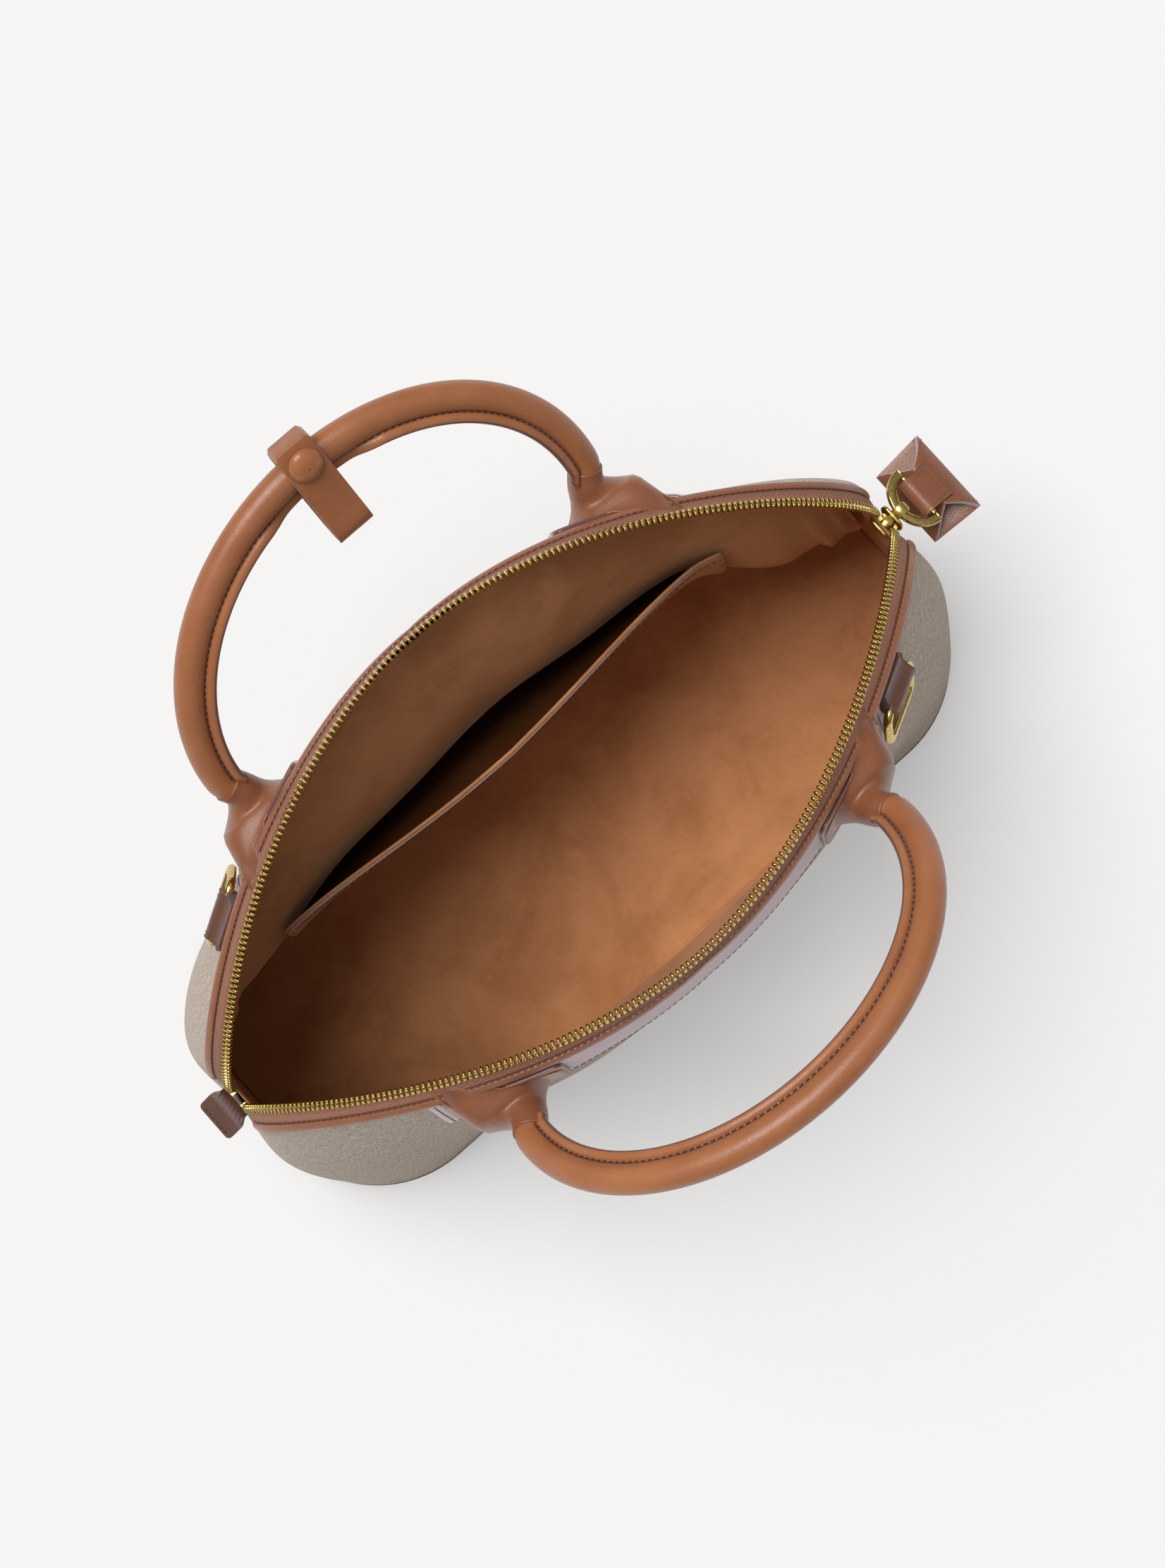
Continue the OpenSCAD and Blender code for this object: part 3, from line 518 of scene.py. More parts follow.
def tube(name, rings, mats, ids_of=None, ends=True, loop=False, **how):
    """A piece whose surface runs through rings of points."""
    m = len(rings[0])
    faces = skin(len(rings), m, ends, loop)
    ids = [ids_of(k // m, k % m) if ids_of and len(f) == 4 else 0 for k, f in enumerate(faces)]
    return piece(name, [p for ring in rings for p in ring], faces, mats, ids=ids, **how)


def join_shapes(name, shapes, mats, **how):
    """One piece from many small closed shapes, each a pair of points and faces."""
    verts, faces = [], []
    for points, polygons in shapes:
        start = len(verts)
        verts += points
        faces += [tuple(start + i for i in f) for f in polygons]
    return piece(name, verts, faces, mats, **how)


def framed(o, x, y, z, points):
    return [o + x * p[0] + y * p[1] + z * p[2] for p in points]


def bead(lx, ly, lz, around=8, levels=(-0.98, -0.6, 0.6, 0.98)):
    """A capsule-like bead: length along x, with its points round the x axis."""
    points = []
    for k in levels:
        r = sqrt(max(0.0, 1 - abs(k) ** 3))
        points += [(lx / 2 * k, ly / 2 * r * c, lz / 2 * r * q) for c, q in turns(around)]
    last = (len(levels) - 1) * around
    caps = [tuple(range(around)), tuple(last + i for i in reversed(range(around)))]
    return points, caps + skin(len(levels), around, ends=False)


def stitches(name, path, normals, mat=DARK_THREAD, pitch=3.3, length=2.5, width=0.62,
             height=0.5, **how):
    """A row of sewn stitches along a path, each a short bead with its ends sunk in."""
    runs = [0.0]
    for a, b in zip(path, path[1:]):
        runs.append(runs[-1] + (b - a).length)
    count = max(1, int(runs[-1] / pitch))
    points, polygons = bead(length, width, height, 6)
    shapes, i = [], 0
    for k in range(count):
        s = (k + 0.5) * runs[-1] / count
        while i < len(runs) - 2 and runs[i + 1] < s:
            i += 1
        f = (s - runs[i]) / max(1e-6, runs[i + 1] - runs[i])
        at, up = path[i].lerp(path[i + 1], f), normals[i].lerp(normals[i + 1], f).normalized()
        along = (path[i + 1] - path[i]).normalized()
        across = up.cross(along).normalized()
        along = (along + 0.12 * across).normalized()
        shapes.append((framed(at, along, up.cross(along).normalized(), up, points), polygons))
    return join_shapes(name, shapes, [mat], **how)


def outward(n, m):
    """The same for rings that run the other way round, with the ends first."""
    *sides, low, high = skin(n, m)
    return [low, high] + [(a, d, c, b) for a, b, c, d in sides]


def box_shape(lx, ly, lz, cut):
    """A box with cut edges, about its centre."""
    points = []
    for z, inset in ((-lz / 2, cut), (-lz / 2 + cut, 0), (lz / 2 - cut, 0), (lz / 2, cut)):
        x, y = lx / 2 - inset, ly / 2 - inset
        points += [(-x + cut, -y, z), (x - cut, -y, z), (x, -y + cut, z), (x, y - cut, z),
                   (x - cut, y, z), (-x + cut, y, z), (-x, y - cut, z), (-x, -y + cut, z)]
    return points, outward(4, 8)


def noise_at(p, scale, seed=0.0):
    return noise.noise(Vector((p.x / scale + seed, p.y / scale - seed, p.z / scale)))


# ---- canvas shell ---------------------------------------------------------------------------
def canvas_wrinkle(p, v):
    """Soft dents of the slack lower canvas; none where trim is sewn on or at the floor."""
    free = smooth((1 - v - 0.26) / 0.2) * smooth(v / 0.12)
    tall = noise.noise(Vector((p.x / 46, p.y / 46, p.z / 120)))
    return free * (1.6 * noise_at(p, 70, 3) + 1.5 * tall)


def canvas_panel(side):
    name = NAME[side]

    def rows(d):
        grid = []
        for u in spread(-SEAM, SEAM, 150):
            top = edge_line(u).z - lerp(0.8, 0.4, abs(u) ** 30)
            row = []
            for z in spread(CANVAS_LOW, top, 48):
                v = v_at(u, z)
                p = side_at(u, v, d - canvas_wrinkle(side_pt(u, v), v) * (1 - abs(u) ** 20))
                if side == BACK:
                    p.y -= tuck(u, v)
                row.append(on_side(side, Vector((p.x, max(p.y, LIP / 2), p.z))))
            grid.append(row)
        return grid

    return grid_slab(name + "_canvas", rows(0), rows(CANVAS_T), [CANVAS], flip=side == BACK,
                     slot="canvas", replaces=(name + "_panel",))


def base_sheet(name, node, mat, low, high, inset, slot):
    """The base or its board: a flat sheet with the outline that the canvas has at the floor."""
    outline = []
    for side, us in ((BACK, range(120)), (FRONT, range(120, 0, -1))):
        for i in us:
            u = lerp(-1, 1, i / 120)
            p = base_line(u)
            along = base_line(min(u + 0.004, 1)) - base_line(max(u - 0.004, -1))
            p = p + Vector((along.y, -along.x, 0)).normalized() * inset
            if side == BACK:
                p.y -= tuck(u, 0)
            outline.append(on_side(side, p))
    rings = [[Vector((p.x, p.y, z)) for p in outline] for z in (low, high)]
    tube(name, rings, [mat], slot=slot, replaces=(node,))


canvas_panel(FRONT)
canvas_panel(BACK)
base_sheet("leather_base", "base_panel", BROWN, 0, BASE_T, 0, "dark_leather")
base_sheet("stiff_board", "base_board", BOARD, CANVAS_LOW, CANVAS_LOW + BOARD_T,
           CANVAS_T + BOARD_GAP, "board")

# ---- leather bands, bindings and tape -----------------------------------------------------
UNDER_BINDING, BAND_UP, SEAM_IN = 3, 1.8, 2.4
BINDING_SHARE, TAPE_SHARE = 0.9, 0.972


def strip_pt(u, down, d):
    return side_at(u, v_at(u, edge_line(u).z - UNDER_BINDING - down), d)


def band(side):
    name = NAME[side]

    def rows(d):
        return [[on_side(side, strip_pt(u, down, d)) for down in spread(BAND_H, -BAND_UP, 10)]
                for u in spread(-BAND_SHARE, BAND_SHARE, 90)]

    grid_slab(name + "_leather_band", rows(-LIP - BAND_T), rows(-LIP), [BAND, EDGE], edge=1,
              flip=side == BACK, replaces=(name + "_band",), soften=0.35)
    u_end = BAND_SHARE - SEAM_IN / (MOUTH_L / 2) / 1.2
    low = BAND_H - SEAM_IN
    path = [(-u_end, d) for d in range(1, int(low))]
    path += [(u, low) for u in spread(-u_end, u_end, 80)]
    path += [(u_end, d) for d in range(int(low) - 1, 0, -1)]
    lift = -LIP - BAND_T - 0.05
    stitches(name + "_band_stitches", [on_side(side, strip_pt(u, d, lift)) for u, d in path],
             [on_side(side, side_normal(u, v_at(u, edge_line(u).z - UNDER_BINDING - d)))
              for u, d in path])


def binding(side):
    """A folded leather strip over the edge, with one row of stitches beside the tape."""
    name = NAME[side]
    w, h = BINDING_W / 2, BINDING_T / 2
    rings, path, ups = [], [], []
    for u in spread(-BINDING_SHARE, BINDING_SHARE, 160):
        e, a = edge_line(u), -tape_down(u)
        up = a.cross(tooth_dir(u)).normalized()
        rings.append([on_side(side, e + a * (w * bent(x, 0.55)) + up * (h * bent(y, 0.7)))
                      for x, y in turns(18)])
        path.append(on_side(side, e + a * (w * 0.96) + up * (h * 0.62)))
        ups.append(on_side(side, up))
    tube(name + "_leather_binding", rings, [STRIP], replaces=(name + "_binding",))
    stitches(name + "_binding_stitches", path[3:-3], ups[3:-3], pitch=3.0, length=2.4,
             width=0.45, height=0.4)


def tape(side):
    name = NAME[side]

    def rows(d):
        grid = []
        for u in spread(-TAPE_SHARE, TAPE_SHARE, 140):
            reach = max(0.6, (edge_line(u) - tooth_line(u)).length - BINDING_W / 2 - 2 * LIP)
            up = tooth_dir(u).cross(tape_down(u)).normalized()
            grid.append([on_side(side, tooth_line(u) + k * tape_down(u) + d * up)
                         for k in spread(reach, 0, 4)])
        return grid

    grid_slab(name + "_tape", rows(TAPE_T / 2), rows(-TAPE_T / 2), [TAPE], flip=side == BACK,
              slot="zip_tape", replaces=(name + "_zip_tape",))


for each in (FRONT, BACK):
    band(each)
    binding(each)
    tape(each)

# ---- zip teeth -----------------------------------------------------------------------------
TOOTH_LEN, TOOTH_H, TEETH_SHARE = 4.2, 2.8, 0.962


def even_steps(curve, low, high, pitch, chords=360):
    """Parameters at equal steps along a curve."""
    us = spread(low, high, chords)
    points = [curve(u) for u in us]
    runs = [0.0]
    for a, b in zip(points, points[1:]):
        runs.append(runs[-1] + (b - a).length)
    out, i = [], 0
    for k in range(int(runs[-1] / pitch)):
        s = (k + 0.5) * pitch
        while runs[i + 1] < s:
            i += 1
        out.append(lerp(us[i], us[i + 1], (s - runs[i]) / (runs[i + 1] - runs[i])))
    return out


def teeth(side):
    """Each tooth is a clamp over the tape's edge with a rounded hook at its free end."""
    name = NAME[side]
    leg_len = TOOTH_LEN * 0.74
    leg = box_shape(PITCH * 0.58, leg_len, TOOTH_H, 0.22)
    hook = bead(PITCH * 0.52, 1.55, TOOTH_H * 0.92, 10, (-0.95, -0.55, 0.0, 0.55, 0.95))
    shapes = []
    for u in even_steps(tooth_line, -TEETH_SHARE, TEETH_SHARE, PITCH):
        a, t = -tape_down(u), tooth_dir(u)
        up = t.cross(a).normalized()
        t = a.cross(up)
        o = tooth_line(u) + a * LIP
        for (points, polygons), shift in ((leg, leg_len / 2), (hook, TOOTH_LEN - 0.78)):
            placed = [on_side(side, p) for p in framed(o + a * shift, t, a, up, points)]
            if side == FRONT:
                polygons = [tuple(reversed(f)) for f in polygons]
            shapes.append((placed, polygons))
    join_shapes(name + "_teeth", shapes, [GOLD], slot="gold", replaces=(name + "_zip_teeth",))


teeth(FRONT)
teeth(BACK)

# ---- handles -----------------------------------------------------------------------------
HANDLE_D, HANDLE_W, HANDLE_H, FOOT_SPAN, HANDLE_LEG = 13, 199, 106, 184, 18
HANDLE_Z, LEAN, SWAY, SWAY_START = 203, {FRONT: 41.5, BACK: 44.5}, {FRONT: 0, BACK: 0.1}, 10
FLANGE_T, FLANGE_W, LEG_SHARE = 2.4, 4.5, 0.26
PATCH_W, PATCH_H, PATCH_T = 47, 36, 1.6
PATCH_OUT = 2 * LIP + BAND_T + PATCH_T
FOOT_W, HINGE_R, FOOT_ROOM = 38, 3, 0.9


def hinge_line():
    ys = []
    for i in range(9):
        t = -1 + i / 4
        u = mouth_u(FOOT_SPAN / 2 + t * FOOT_W / 2)
        for z in (HANDLE_Z - 4, HANDLE_Z, HANDLE_Z + 4):
            ys.append(side_at(u, v_at(u, z), -PATCH_OUT).y + HINGE_R * sqrt(1 - t * t))
    return FOOT_ROOM + max(ys)


HINGE_Y = hinge_line()


def arch(side, k):
    a, f, q = HANDLE_W / 2, FOOT_SPAN / 2, (1 - abs(k)) / LEG_SHARE
    g = pi / 2 * k / (1 - LEG_SHARE)
    x, up = a * sin(g), HANDLE_LEG + (HANDLE_H - HANDLE_LEG) * cos(g)
    if q < 1:
        x, up = (1 if k > 0 else -1) * lerp(f, a, smooth(q)), HANDLE_LEG * q
    return Vector((x + SWAY[side] * up * up / (up + SWAY_START), up))


def arch_dir(side, k):
    return (arch(side, min(k + 0.002, 1)) - arch(side, max(k - 0.002, -1))).normalized()


def in_handle(side, x, w, n):
    """A place in a handle's own plane: across, up from the hinge line, and toward the top face."""
    lean = radians(LEAN[side])
    out, up = sin(lean) * w - cos(lean) * n, cos(lean) * w + sin(lean) * n
    return Vector((x, side * (HINGE_Y + out), HANDLE_Z + up))


TUBE_END, FOOT_FROM, ROUND_STEPS = 0.885, 0.80, 30
FLANGE_SHAPE = ((0.2, 1.5), (-0.15, 0.72), (-0.75, 1.5), (-1.9, 1.85), (-3.2, 1.7), (-4.1, 1.2),
                (-4.5, 0.5))


def tube_profile(fade):
    """Cross-section of a rolled handle: a round tube, a groove, and the flange's two lips."""
    r = HANDLE_D / 2
    open_from = 180 - degrees(asin(1.5 / r))
    round_part = [(r * cos(radians(g)), r * sin(radians(g)))
                  for g in spread(-open_from, open_from, ROUND_STEPS)]
    lips = []
    for x, y in FLANGE_SHAPE:
        g = atan2(y, -r + 0.4)
        lips.append((lerp(r * cos(g), x - r, fade), lerp(r * sin(g), y, fade)))
    return round_part + lips + [(x, -y) for x, y in reversed(lips)]


def seam_turn(side, k):
    """How far the seam flange turns up from the arch's plane; it lies flat inside the snap tab."""
    turn = lerp(26, 44, smooth(1.2 - abs(k) / 0.7))
    if side == BACK:
        turn = lerp(36, 2, smooth(1.9 - abs(k - 0.01) / 0.09))
    return radians(turn)


def handle(side):
    """Rolled tube with a stitched seam flange; its ends run down inside the flared feet."""
    name = NAME[side] + "_handle"
    rings, seam_paths, path_ups = [], {1: [], -1: []}, {1: [], -1: []}
    for k in spread(-TUBE_END, TUBE_END, 240):
        c, d = arch(side, k), arch_dir(side, k)
        fade = smooth((TUBE_END - abs(k)) / 0.03)
        slim = lerp(0.8, 1, smooth((TUBE_END - abs(k)) / 0.05))
        cos_turn, sin_turn = cos(seam_turn(side, k)), sin(seam_turn(side, k))

        def turned(x, y):
            across, out = x * cos_turn + y * sin_turn, y * cos_turn - x * sin_turn
            return in_handle(side, c.x - d.y * across, c.y + d.x * across, out)

        rings.append([turned(x * slim, y * slim) for x, y in tube_profile(fade)])
        if abs(k) < TUBE_END - 0.05:
            x = -HANDLE_D / 2 - 0.2
            for s in (1, -1):
                seam_paths[s].append(turned(x, s * 1.0))
                path_ups[s].append(turned(0, s) - turned(0, 0))
    lip = ROUND_STEPS + 1 + len(FLANGE_SHAPE)
    tube(name + "_tube", rings, [COGNAC, EDGE], body=name,
         ids_of=lambda i, j: int(lip - 2 <= j <= lip),
         replaces=(name + "_cover",))
    for s in (1, -1):
        stitches(f"{name}_seam_stitches_{'top' if s > 0 else 'under'}", seam_paths[s],
                 path_ups[s], pitch=3.1, length=2.3, width=0.8, height=0.7, body=name)
    for end in (-1, 1):
        trumpet(side, end)


def trumpet(side, end):
    """The flared foot: it leaves the tube smoothly and ends in a flat oblong on its patch."""
    name = NAME[side] + "_handle"
    c, d = arch(side, end * FOOT_FROM), arch_dir(side, end * FOOT_FROM) * end
    start = in_handle(side, c.x, c.y, 0)
    run = (in_handle(side, c.x + d.x, c.y + d.y, 0) - start).normalized()
    u = mouth_u(FOOT_SPAN / 2) * end
    middle = v_at(u, edge_line(u).z - UNDER_BINDING - PATCH_H / 2)
    land = on_side(side, side_at(u, middle, -PATCH_OUT - 0.3))
    away = on_side(side, side_normal(u, middle))
    flat = in_handle(side, 0, 0, 1) - in_handle(side, 0, 0, 0)
    across = run.cross(flat)
    wide = Vector((1 if across.x > 0 else -1, 0, 0))
    reach = (land - start).length
    rings = []
    for q in spread(0, 1, 30):
        f, g_long = q ** 3.0, q ** 2.2
        b = [(1 - q) ** 3, 3 * q * (1 - q) ** 2, 3 * q * q * (1 - q), q ** 3]
        mids = (start + run * reach * 0.34, land + away * reach * 0.36)
        at = start * b[0] + mids[0] * b[1] + mids[1] * b[2] + land * b[3]
        c = arch(side, end * min(1, FOOT_FROM + q * reach / 90))
        at = in_handle(side, c.x, c.y, 0).lerp(at, smooth(q / 0.75))
        x_axis = across.normalized().lerp(wide, smooth(q)).normalized()
        along = run.lerp(-away, smooth(q)).normalized()
        y_axis = along.cross(x_axis).normalized()
        r = HANDLE_D / 2 - 0.35
        rx, ry = lerp(r, PATCH_W / 2 + 0.2, f), lerp(r, PATCH_H / 2 + 0.2, g_long)
        power = lerp(1.0, 0.30, f)
        ring = []
        for x, y in turns(48):
            p = at + x_axis * rx * bent(x, power) + y_axis * ry * bent(y, power)
            if q > 0.84:
                uu = mouth_u(min(abs(p.x), 120)) * (1 if p.x > 0 else -1)
                down = edge_line(uu).z - UNDER_BINDING - p.z
                seat = on_side(side, strip_pt(uu, down, -PATCH_OUT - 0.25))
                p = p.lerp(Vector((p.x, seat.y, p.z)), smooth((q - 0.84) / 0.13))
            ring.append(p)
        rings.append(ring)
    end_name = "left" if end < 0 else "right"
    # painted shade: the foot uses the darker copy of the cognac leather
    obj = tube(f"{name}_foot_{end_name}", rings, [FOOT_IN_SHADE], ends=False, body=None)
    thick = obj.modifiers.new("leather", "SOLIDIFY")
    thick.thickness, thick.offset = 1.2 * MM, -1
    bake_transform(obj)
    seam = rings[-3] + rings[-3][:1]
    out = [(p - land).normalized() * 0.15 + away * 0.2 for p in seam]
    stitches(f"{name}_foot_stitches_{end_name}", [p + o for p, o in zip(seam, out)],
             [away] * len(seam), pitch=3.0, length=2.2, width=0.55)


def corner_cut(x, half, r):
    """How much a corner of radius r takes off at x, on a shape that reaches half to each side."""
    off = max(0.0, abs(x) - (half - r))
    return r - sqrt(max(0.0, r * r - off * off))


def patch(side, end):
    """Oblong leather patch with rounded corners, sewn all round."""
    name = NAME[side] + ("_left" if end < 0 else "_right")
    middle, corner = end * FOOT_SPAN / 2, 4.0

    def rows(d):
        grid = []
        for x in spread(-PATCH_W / 2, PATCH_W / 2, 32):
            cut = corner_cut(x, PATCH_W / 2, corner)
            grid.append([on_side(side, strip_pt(mouth_u(middle + x), down, d))
                         for down in spread(PATCH_H - cut, cut, 12)])
        return grid

    grid_slab(name + "_foot_patch", rows(-PATCH_OUT), rows(-PATCH_OUT + PATCH_T),
              [COGNAC, EDGE], edge=1, flip=side == BACK, replaces=(name + "_patch",),
              soften=0.35)


def rounded_path(w, h, r):
    """Points round an oblong with rounded corners, about its middle."""
    points = []
    for cx, cy, start in ((w - r, h - r, 0), (r - w, h - r, 90), (r - w, r - h, 180),
                          (w - r, r - h, 270)):
        points += [(cx + r * cos(radians(start + a)), cy + r * sin(radians(start + a)))
                   for a in range(0, 91, 15)]
    points.append(points[0])
    fine = []
    for a, b in zip(points, points[1:]):
        n = max(1, int(Vector((b[0] - a[0], b[1] - a[1])).length))
        fine += [(lerp(a[0], b[0], i / n), lerp(a[1], b[1], i / n)) for i in range(n)]
    return fine + [points[-1]]


for each in (FRONT, BACK):
    handle(each)
    patch(each, -1)
    patch(each, 1)

# ---- snap tab on the back handle ----------------------------------------------------------
TAB_W, TAB_LEN, TAB_T, TAB_X, TAB_OVER = 17, 51, 1.8, 2, 6
CAP_D, CAP_H, CAP_OUT, TAB_ROOM, TAB_CORNER = 14.5, 4, 4.5, 0.3 + HANDLE_D / 2, 2.2


def snap_tab():
    """A strap looped round the tube, its two layers meeting at a blunt outer end."""
    k = degrees(asin(TAB_X / (HANDLE_W / 2))) / 90 * (1 - LEG_SHARE)
    c, d = arch(BACK, k), arch_dir(BACK, k)

    def at(x, y, z):
        return in_handle(BACK, c.x + d.x * x - d.y * y, c.y + d.y * x + d.x * y, z)

    top, r = HANDLE_D / 2 + TAB_OVER, TAB_ROOM + TAB_T
    low = top - TAB_LEN + r

    def outline(inset):
        """Side view: round at the inner fold, flat along both faces, closed at the outer end."""
        q = r - inset
        points = [(low - q * sin(g), q * cos(g)) for g in spread(0, pi, 14)]
        points += [(y, -q) for y in spread(low, top - TAB_OVER, 10)[1:]]
        points += [(top - TAB_OVER * 0.5, -q * 0.93), (top + 1.6 - inset * 0.8, -q * 0.3)]
        points += [(top + 2.2 - inset * 0.8, q * 0.93), (top - TAB_OVER * 0.3, q)]
        points += [(y, q) for y in spread(top - TAB_OVER, low, 10)[:-1]]
        return points

    outer, inner, across = outline(0), outline(TAB_T), 12
    rings = []
    for flat, sides in ((outer, range(across + 1)), (inner, reversed(range(across + 1)))):
        for s in sides:
            x = lerp(-TAB_W / 2, TAB_W / 2, s / across)
            rim = corner_cut(x, TAB_W / 2, TAB_CORNER)
            rings.append([at(x, y - rim * smooth((y - top + 7) / 6), z) for y, z in flat])
    tube("snap_strap", rings, [COGNAC, EDGE], loop=True, body="snap",
         ids_of=lambda i, j: int(i in (across, 2 * across + 1)),
         replaces=("snap_tab",), soften=0.3)
    dome = [(0.985, r + 0.02)]
    dome += [(cos(g) ** 0.8, r + 0.05 + CAP_H * sin(g)) for g in spread(0, pi / 2, 12)[:-1]]
    dome.append((0.5 / CAP_D, r + 0.05 + CAP_H))
    tube("covered_cap", [[at(CAP_D / 2 * k * x, CAP_OUT + CAP_D / 2 * k * y, z)
                          for x, y in turns(40)] for k, z in dome],
         [CAP], body="snap", replaces=("snap_cap",))


snap_tab()

# ---- strap rings and keepers ----------------------------------------------------------------
RING_W, RING_H, WIRE_D, KEEPER_W, KEEPER_T, RING_PLACE = 33, 24, 4, 22, 1.6, 0.487
KEEPER_BORE = WIRE_D / 2 + 0.3
KEEPER_R, KEEPER_LIFT, KEEPER_DOWN = KEEPER_BORE + KEEPER_T, 0.3, 12


def ring_frame(side):
    """A function that puts a place in a strap ring's own frame into the bag's."""
    v = v_at(RING_PLACE, edge_line(RING_PLACE).z - UNDER_BINDING - KEEPER_DOWN)
    out = side_normal(RING_PLACE, v)
    along = (side_pt(RING_PLACE + 0.01, v) - side_pt(RING_PLACE - 0.01, v)).normalized()
    up = along.cross(out)
    o = side_at(RING_PLACE, v, -KEEPER_R - KEEPER_LIFT)
    turn = Vector((1, -1, 1)) if side == FRONT else Vector((-1, 1, 1))
    return lambda x, y, z: (o + along * x + up * y + out * z) * turn


def keeper(side):
    """A strip rolled over the ring's bar and sewn to the band's end, stitched near both ends."""
    name = NAME[side]
    at = ring_frame(side)
    tail = KEEPER_DOWN - 1
    bend = spread(-0.5 * pi, -1.5 * pi, 22) + spread(0.5 * pi, 0.12 * pi, 8)[1:]
    profile = [(tail, -KEEPER_R)] + [(KEEPER_R * cos(a), KEEPER_R * sin(a)) for a in bend]
    profile += [(KEEPER_R + 1.2, 0.2), (tail * 0.62, -KEEPER_R + 2.6),
                (tail, -KEEPER_R + KEEPER_T + 0.6)]
    rings = []
    for x in spread(-KEEPER_W / 2, KEEPER_W / 2, 14):
        swell = 1 + 0.03 * cos(pi * x / KEEPER_W)
        rings.append([at(x, y * swell, z * swell) for y, z in profile])
    tube(name + "_keeper", rings, [BROWN], slot="dark_leather", soften=0.3,
         replaces=(name + "_ring_keeper",))
    arc = [radians(a) for a in range(-120, -301, -12)]
    lift = KEEPER_R * 1.02 + 0.05
    for end, x in (("a", 2.2 - KEEPER_W / 2), ("b", KEEPER_W / 2 - 2.2)):
        path = [at(x, lift * cos(a), lift * sin(a)) for a in arc]
        o = at(x, 0, 0)
        stitches(f"{name}_keeper_stitches_{end}", path,
                 [(p - o).normalized() for p in path], TAN_THREAD, pitch=2.6, length=1.9,
                 width=0.5, slot="dark_leather")


def strap_ring(side):
    """Round wire bent to an oblong with tight corners."""
    name = NAME[side]
    at = ring_frame(side)
    w, h, r = (RING_W - WIRE_D) / 2, (RING_H - WIRE_D) / 2, 4.0
    path, rings = rounded_path(w, h, r)[:-1], []
    n = len(path)
    for i in range(n):
        (ax, ay), (bx, by) = path[i - 1], path[(i + 1) % n]
        d = Vector((bx - ax, by - ay)).normalized() * WIRE_D / 2
        rings.append([at(path[i][0] + d.y * x, path[i][1] - d.x * x - h, WIRE_D / 2 * y)
                      for x, y in turns(16)])
    tube(name + "_ring", rings, [GOLD], loop=True, body=name + "_ring", slot="gold",
         replaces=(name + "_strap_ring",))


for each in (FRONT, BACK):
    keeper(each)
    strap_ring(each)

# ---- zip slider and pull ----------------------------------------------------------------------
SLIDER_X, SLIDER_Z = MOUTH_L / 2, TIP_H + 2
SLIDER_W, SLIDER_H, SLIDER_T = 13, 13, 1.6
PLATE_GAP = TOOTH_H / 2 + 1.1
PULL_RING_D, PULL_BAND, PULL_RING_T, PULL_DROOP = 30, 4.6, 2.6, 24
PULL_NECK, PULL_FOLD, PULL_T, BAR_R = 18, 42, 2, 1.8
BRIDGE_BORE, BRIDGE_WALL, BRIDGE_W = sqrt(PULL_BAND ** 2 + PULL_RING_T ** 2) / 2 + 0.5, 1.2, 5
BRIDGE = Vector((SLIDER_X + PLATE_GAP + SLIDER_T + BRIDGE_BORE + BRIDGE_WALL - 0.3, 0,
                 SLIDER_Z + 2))
PULL_MEAN = (PULL_RING_D - PULL_BAND) / 2


def slider():
    """Two plates with a wedge between them, and a crown bridge for the ring."""
    def plate(x, tip_lift):
        outline, layers = [], []
        for c, q in turns(28):
            z = SLIDER_H / 2 * bent(q, 0.45)
            y = SLIDER_W / 2 * bent(c, 0.45) * (1 - 0.18 * smooth(-z / SLIDER_H * 2))
            outline.append((y, z))
        for t, shrink in ((0, 0.94), (0.3, 1), (SLIDER_T - 0.3, 1), (SLIDER_T, 0.94)):
            layers += [Vector((x + t + tip_lift * smooth(z / SLIDER_H * 2) ** 2, y * shrink,
                               SLIDER_Z + z * shrink)) for y, z in outline]
        return layers, outward(4, 28)

    points, polygons = box_shape(2 * PLATE_GAP + 0.6, 4.2, 5, 0.5)
    middle = Vector((SLIDER_X, 0, SLIDER_Z + SLIDER_H / 2 - 2.8))
    wedge = [middle + Vector(q) for q in points]
    bridge = []
    for y, wall in ((-1, 0), (-1, 0.75), (-0.8, 1), (0.8, 1), (1, 0.75), (1, 0)):
        r = BRIDGE_BORE + wall * BRIDGE_WALL
        bridge += [BRIDGE + Vector((r * c, y * BRIDGE_W / 2, r * q)) for c, q in turns(36)]
    shapes = [plate(SLIDER_X + PLATE_GAP, 0.4), plate(SLIDER_X - PLATE_GAP - SLIDER_T, -1.2),
              (wedge, polygons), (bridge, skin(6, 36, loop=True))]
    join_shapes("slider_body", shapes, [DARK_GOLD], body="slider", slot="gold",
                replaces=("zip_slider",))


def in_pull(x, y, z):
    """A place in the pull's frame: out from the bar, across, above."""
    a = radians(PULL_DROOP)
    x += PULL_MEAN
    return BRIDGE + Vector((x * cos(a) + z * sin(a), y, z * cos(a) - x * sin(a)))


